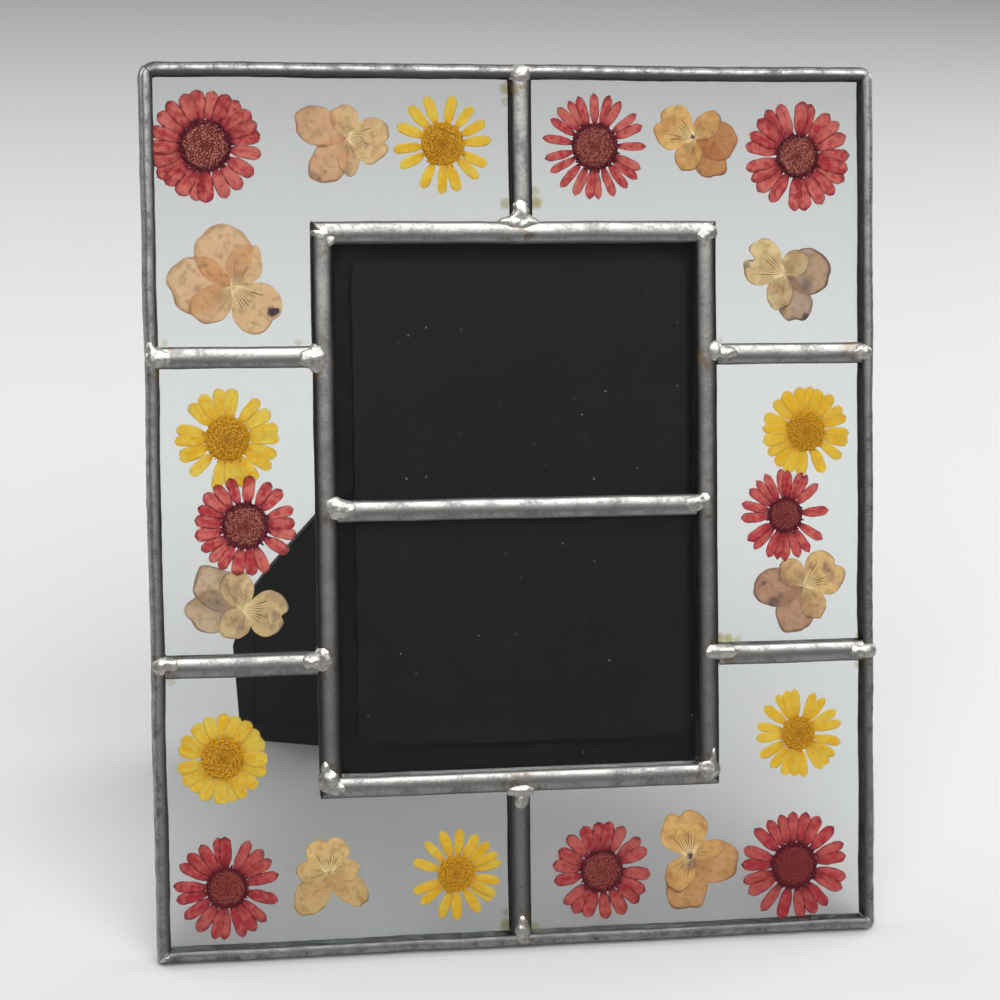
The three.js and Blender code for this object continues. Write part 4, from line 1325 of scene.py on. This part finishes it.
def viola_material(name, layer, see_through, front_share, lip, back, patch, vein, rim, marks):
    material, tree, surface, own = new_material(name)
    along, fan, _ = split(node(tree, "ShaderNodeUVMap", uv_map="petal").outputs[0])
    across = calc("ABSOLUTE", minus(fan, 0.5))
    behind = carried(tree, "behind")
    front = minus(1.0, behind)
    blotch, crease, fibre = (cloud(own, *sizes) for sizes in (BLOTCHES, CREASES, FIBRES))
    skin = blend(behind, lip, back)
    skin = blend(times(ramp(blotch, 0.44, 0.66), BLOTCH_DEPTH), skin, patch)
    # painted shade: the crumples that the bump raises are also darkened in the colour
    skin = blend(times(ramp(crease, 0.48, 0.66), CREASE_SHADE_DEPTH), skin, vein)
    skin = blend(times(ramp(along, 0.50, 0.12), times(front, GLOW_DEPTH)), skin, EYE_YELLOW)
    lines = times(vein_lines(along, fan, own), ramp(front, 0.0, 0.6))
    skin = blend(times(lines, VEIN_DEPTH), skin, vein)
    rim_start = minus(0.955, times(behind, 0.05))
    edge = calc("MAXIMUM", ramp(across, 0.465, 0.5), ramp(along, rim_start, 1.0))
    edge = times(edge, ramp(blotch, 0.34, 0.52))
    skin = blend(times(edge, VIOLA_RIM_DEPTH), skin, rim)
    dark = marks_at(own, marks, layer)
    skin = blend(dark, skin, MARK)
    wire(surface, {"Base Color": skin, "Roughness": 0.8, "Specular IOR Level": 0.2})
    wire(surface, {"Normal": raised(plus(fibre, times(crease, 3.0)), 0.6, 0.00025)})
    shut = calc("MAXIMUM", times(edge, RIM_SHUTS), times(dark, MARKS_SHUT))
    shut = calc("MAXIMUM", shut, times(lines, VEINS_SHUT))
    shut = calc("MAXIMUM", shut, times(ramp(along, 0.45, 0.15), front))
    thin = blend_value(behind, see_through * front_share, see_through)
    let_light_through(surface, skin, times(minus(1.0, shut), thin))
    return material


# %% Violas: eye, layer, and angle, length and width of the lip, side and back petals
VIOLAS = {
    "viola_1": (-43.4, 214.4, FRONT_LAYER, (
        (-8, 10.8, 12.2), (102, 8.5, 7.0), (-90, 10.0, 5.8), (160, 15.0, 10.0), (-130, 14.5, 9.7))),
    "viola_2": (-73.7, 175.4, FRONT_LAYER, (
        (-40, 13.8, 13.8), (65, 12.3, 9.3), (-146, 13.0, 9.5), (106, 17.0, 15.0), (172, 17.5, 15.0))),
    "viola_3": (47.5, 214.6, FRONT_LAYER, (
        (153, 10.5, 12.3), (40, 9.4, 6.5), (-103, 9.0, 7.2), (-7, 12.3, 10.5), (-51, 12.6, 8.7))),
    "viola_4": (71.9, 178.8, FRONT_LAYER, (
        (154, 11.5, 12.6), (36, 8.2, 6.9), (-99, 10.0, 7.3), (4, 13.4, 12.6), (-66, 14.2, 9.6))),
    "viola_5": (-72.5, 92.3, BACK_LAYER, (
        (-12, 10.9, 12.3), (109, 10.7, 8.8), (-125, 8.6, 8.4), (143, 16.0, 10.5), (-177, 15.3, 11.5))),
    "viola_6": (78.1, 94.8, BACK_LAYER, (
        (32, 11.2, 12.8), (137, 9.3, 7.0), (-66, 9.9, 7.0), (-177, 14.3, 10.8), (-112, 13.7, 10.8))),
    "viola_7": (-51.9, 22.4, FRONT_LAYER, (
        (93, 9.2, 11.6), (180, 8.6, 6.3), (2, 8.3, 6.0), (-125, 13.5, 8.8), (-42, 13.0, 7.7))),
    "viola_8": (45.5, 22.4, FRONT_LAYER, (
        (105, 12.6, 13.2), (-120, 10.6, 8.2), (15, 9.0, 5.5), (-16, 13.9, 12.3), (-96, 15.3, 11.5))),
}
# share of light let through by a face, and the front petals' share of that;
# then the lip, the back petals, the patches, the veins and the rim
VIOLA_LOOKS = {
    "viola_1": (0.66, 0.7, (0.99, 0.72, 0.38), (0.98, 0.65, 0.40), (0.86, 0.54, 0.32), (0.13, 0.05, 0.008),
                (0.40, 0.22, 0.17)),
    "viola_2": (0.74, 0.84, (0.97, 0.70, 0.40), (0.97, 0.68, 0.42), (0.92, 0.60, 0.38), (0.15, 0.055, 0.008),
                (0.60, 0.36, 0.22)),
    "viola_3": (0.58, 0.62, (0.99, 0.65, 0.26), (0.80, 0.40, 0.19), (0.78, 0.40, 0.15), (0.12, 0.045, 0.006),
                (0.36, 0.18, 0.09)),
    "viola_4": (0.62, 0.62, (0.98, 0.77, 0.42), (0.66, 0.48, 0.37), (0.76, 0.48, 0.25), (0.09, 0.04, 0.008),
                (0.09, 0.05, 0.08)),
    "viola_5": (0.60, 0.62, (0.99, 0.73, 0.38), (0.83, 0.62, 0.43), (0.66, 0.45, 0.28), (0.08, 0.035, 0.008),
                (0.28, 0.19, 0.16)),
    "viola_6": (0.54, 0.62, (0.99, 0.67, 0.30), (0.72, 0.44, 0.29), (0.60, 0.33, 0.21), (0.10, 0.04, 0.008),
                (0.26, 0.14, 0.13)),
    "viola_7": (0.58, 0.62, (0.99, 0.70, 0.33), (0.96, 0.67, 0.34), (0.86, 0.54, 0.23), (0.09, 0.035, 0.006),
                (0.50, 0.32, 0.15)),
    "viola_8": (0.56, 0.62, (0.99, 0.63, 0.24), (0.92, 0.54, 0.26), (0.78, 0.42, 0.16), (0.10, 0.04, 0.006),
                (0.36, 0.18, 0.08)),
}
# dark marks: x, u, radius and strength
VIOLA_MARKS = {
    "viola_1": ((-52.6, 204.9, 0.7, 0.6), (-51.2, 204.0, 0.6, 0.5), (-49.8, 205.5, 0.6, 0.5),
                (-51.7, 202.1, 0.5, 0.7), (-43.6, 206.0, 1.2, 0.35)),
    "viola_2": ((-64.0, 169.4, 1.3, 1.0), (-62.9, 169.7, 0.9, 1.0), (-69.1, 166.8, 0.4, 0.9)),
    "viola_3": ((47.5, 214.7, 0.6, 1.0), (55.7, 213.8, 0.5, 0.4), (49.5, 205.7, 0.4, 0.7),
                (52.8, 216.0, 0.5, 0.3)),
    "viola_4": ((63.4, 182.6, 0.8, 0.9), (62.2, 181.0, 0.9, 0.5), (78.3, 167.2, 1.0, 0.6),
                (78.6, 175.6, 1.7, 0.5), (81.5, 172.6, 1.2, 0.4), (72.2, 169.6, 1.0, 0.35)),
    "viola_5": ((-64.4, 90.5, 1.3, 0.5), (-62.8, 88.0, 1.2, 0.45), (-80.0, 93.6, 2.6, 0.35),
                (-78.4, 90.9, 1.6, 0.3)),
    "viola_6": ((69.4, 90.4, 1.6, 0.75), (66.6, 95.7, 0.7, 0.8), (83.8, 98.8, 1.1, 0.4),
                (71.2, 92.0, 1.0, 0.6), (75.0, 84.8, 0.7, 0.4)),
    "viola_7": ((-51.9, 22.2, 0.5, 0.5),),
    "viola_8": ((45.4, 22.3, 0.9, 0.95), (46.1, 19.9, 1.3, 0.55)),
}
print("dark marks on the violas:", sum(len(marks) for marks in VIOLA_MARKS.values()))

# %% Draw and build each viola
RINGS, SPOKES = 14, 45
OPENS_TO = math.radians(140)  # the oval runs this far round on either side of the tip
PETAL_LAYERS = (-0.22, -0.07, 0.04, 0.15, 0.25)
CRUMPLE = 0.07
RUFFLES = ((1.1, 0.08), (2.4, 0.035), (8.5, 0.009))  # how often, and by what share of the reach
NOTCH = {  # depth of the lip's notch, as a share of its length
    "viola_1": 0.13, "viola_2": 0.05, "viola_3": 0.08, "viola_4": 0.26, "viola_5": 0.13, "viola_6": 0.14,
    "viola_7": 0.16, "viola_8": 0.10,
}
EYE_OVERLAP = 0.9  # each petal starts this far behind the eye
NOTCH_WIDTH = 0.17  # radians round the tip
BEHIND_SHARE = (0.0, 0.25, 0.25, 1.0, 1.0)  # how far each petal has the look of a back petal


def viola_petal(x, u, layer, angle, length, width, notch, seed):
    """A petal as rings of points that spread out from the eye."""
    around = np.linspace(-OPENS_TO, OPENS_TO, SPOKES)
    far = 0.55 * length + 0.45 * length * np.cos(around)
    side = 0.5 * width * np.sin(around)
    ruffle = np.array([
        sum(share * noise.noise((a * often, seed + 0.4, often)) for often, share in RUFFLES) for a in around
    ])
    ruffle *= np.clip((OPENS_TO - np.abs(around)) / 0.8, 0, 1)  # none at the root
    reach = 1 + ruffle - notch * np.exp(-((around / NOTCH_WIDTH) ** 2))
    out = np.linspace(0.05, 1, RINGS) ** 0.9
    grid = np.zeros((RINGS, SPOKES, 3))
    turn = math.radians(angle)
    along = out[:, None] * (far * reach)[None, :] - EYE_OVERLAP * (1 - out)[:, None]
    across = out[:, None] * (side * reach)[None, :]
    grid[:, :, 0] = x + along * math.cos(turn) - across * math.sin(turn)
    grid[:, :, 2] = u + along * math.sin(turn) + across * math.cos(turn)
    for point in grid.reshape(-1, 3):
        point[1] = layer + CRUMPLE * noise.noise((point[0] * 0.5, point[2] * 0.5, seed))
    share = (around / OPENS_TO + 1) / 2
    uv = np.stack(np.broadcast_arrays(out[:, None], share[None, :]), axis=-1)
    return shell(grid, uv, PETAL_THICK, "viola petal")


for index, (name, (x, u, layer, petals)) in enumerate(VIOLAS.items()):
    through, front_share, *tones = VIOLA_LOOKS[name]
    look = viola_material(name + " petals", layer, through, front_share, *opaque(tones), VIOLA_MARKS[name])
    meshes = []
    for k, (angle, length, width) in enumerate(petals):
        notch, depth = NOTCH[name] if k == 0 else 0.0, layer + PETAL_LAYERS[k]
        petal = viola_petal(x, u, depth, angle, length, width, notch, index * 7.3 + k)
        point_values(petal, "behind", [BEHIND_SHARE[k]] * len(petal.vertices))
        petal.materials.append(look)
        meshes.append(petal)
    viola = keep("pressed_" + name, meshes, name)
print("violas", len(VIOLAS), "the last with", len(viola.data.polygons), "faces")

# %% [markdown]
# ## Dust on the photo glass
#
# Against the black back the panes over the photo show the dust that any shelf gives them. The
# specks are repeats, so a tree scatters them over each pane and gives each its own size and turn.

# %% Dust specks
SPECKS_PER_PANE = 70
SMALLEST, RANGE = 0.09, 0.30  # width in mm, and how much wider the few largest are
SPECK_THICK = 0.05
PROUD = 0.04  # the specks lie on the pane's face


def speck_blank():
    ball = bmesh.new()
    bmesh.ops.create_icosphere(ball, subdivisions=1, radius=0.5)
    mesh = bpy.data.meshes.new("speck blank")
    ball.to_mesh(mesh)
    ball.free()
    return mesh


def dust_tree():
    tree, given = new_tree(
        "scatter dust",
        {"Speck": "Object", "Count": "Int", "Low": "Vector", "High": "Vector", "Seed": "Int",
         "Finish": "Material"},
    )
    inputs = {0: given["Low"], 1: given["High"], "Seed": given["Seed"]}
    spot = node(tree, "FunctionNodeRandomValue", inputs, data_type="FLOAT_VECTOR").outputs[0]
    points = node(tree, "GeometryNodePoints", {"Count": given["Count"], "Position": spot}).outputs[0]
    chance = chance_between(0.0, 1.0, plus(given["Seed"], 1))
    wide = plus(SMALLEST, times(calc("POWER", chance, 5.0), RANGE))  # most are small
    size = vector(wide, SPECK_THICK, times(wide, plus(0.6, chance)))
    turn = vector(0.0, times(chance, 40.0), 0.0)
    end_tree(copies(points, shape_of(given["Speck"]), turn, size), given["Finish"])
    return tree


speck = keep_aside(speck_blank())
dust_look = plain_material("dust", (0.42, 0.40, 0.37, 1), 0.9)
DUST_TREE = dust_tree()
at_pane = PANE_FRONT - PROUD
specks = []
for seed, (bottom, top) in enumerate(((49.0, 113.5), (121.5, 186.0))):
    values = {
        "Speck": speck, "Count": SPECKS_PER_PANE, "Low": (-47.0, at_pane, bottom),
        "High": (46.5, at_pane, top), "Seed": seed, "Finish": dust_look,
    }
    specks.append(grown("dust", DUST_TREE, values))
bpy.data.objects.remove(speck)
dust = keep("dust_specks", specks, None)
print("dust specks", 2 * SPECKS_PER_PANE, "with", len(dust.data.polygons), "faces")
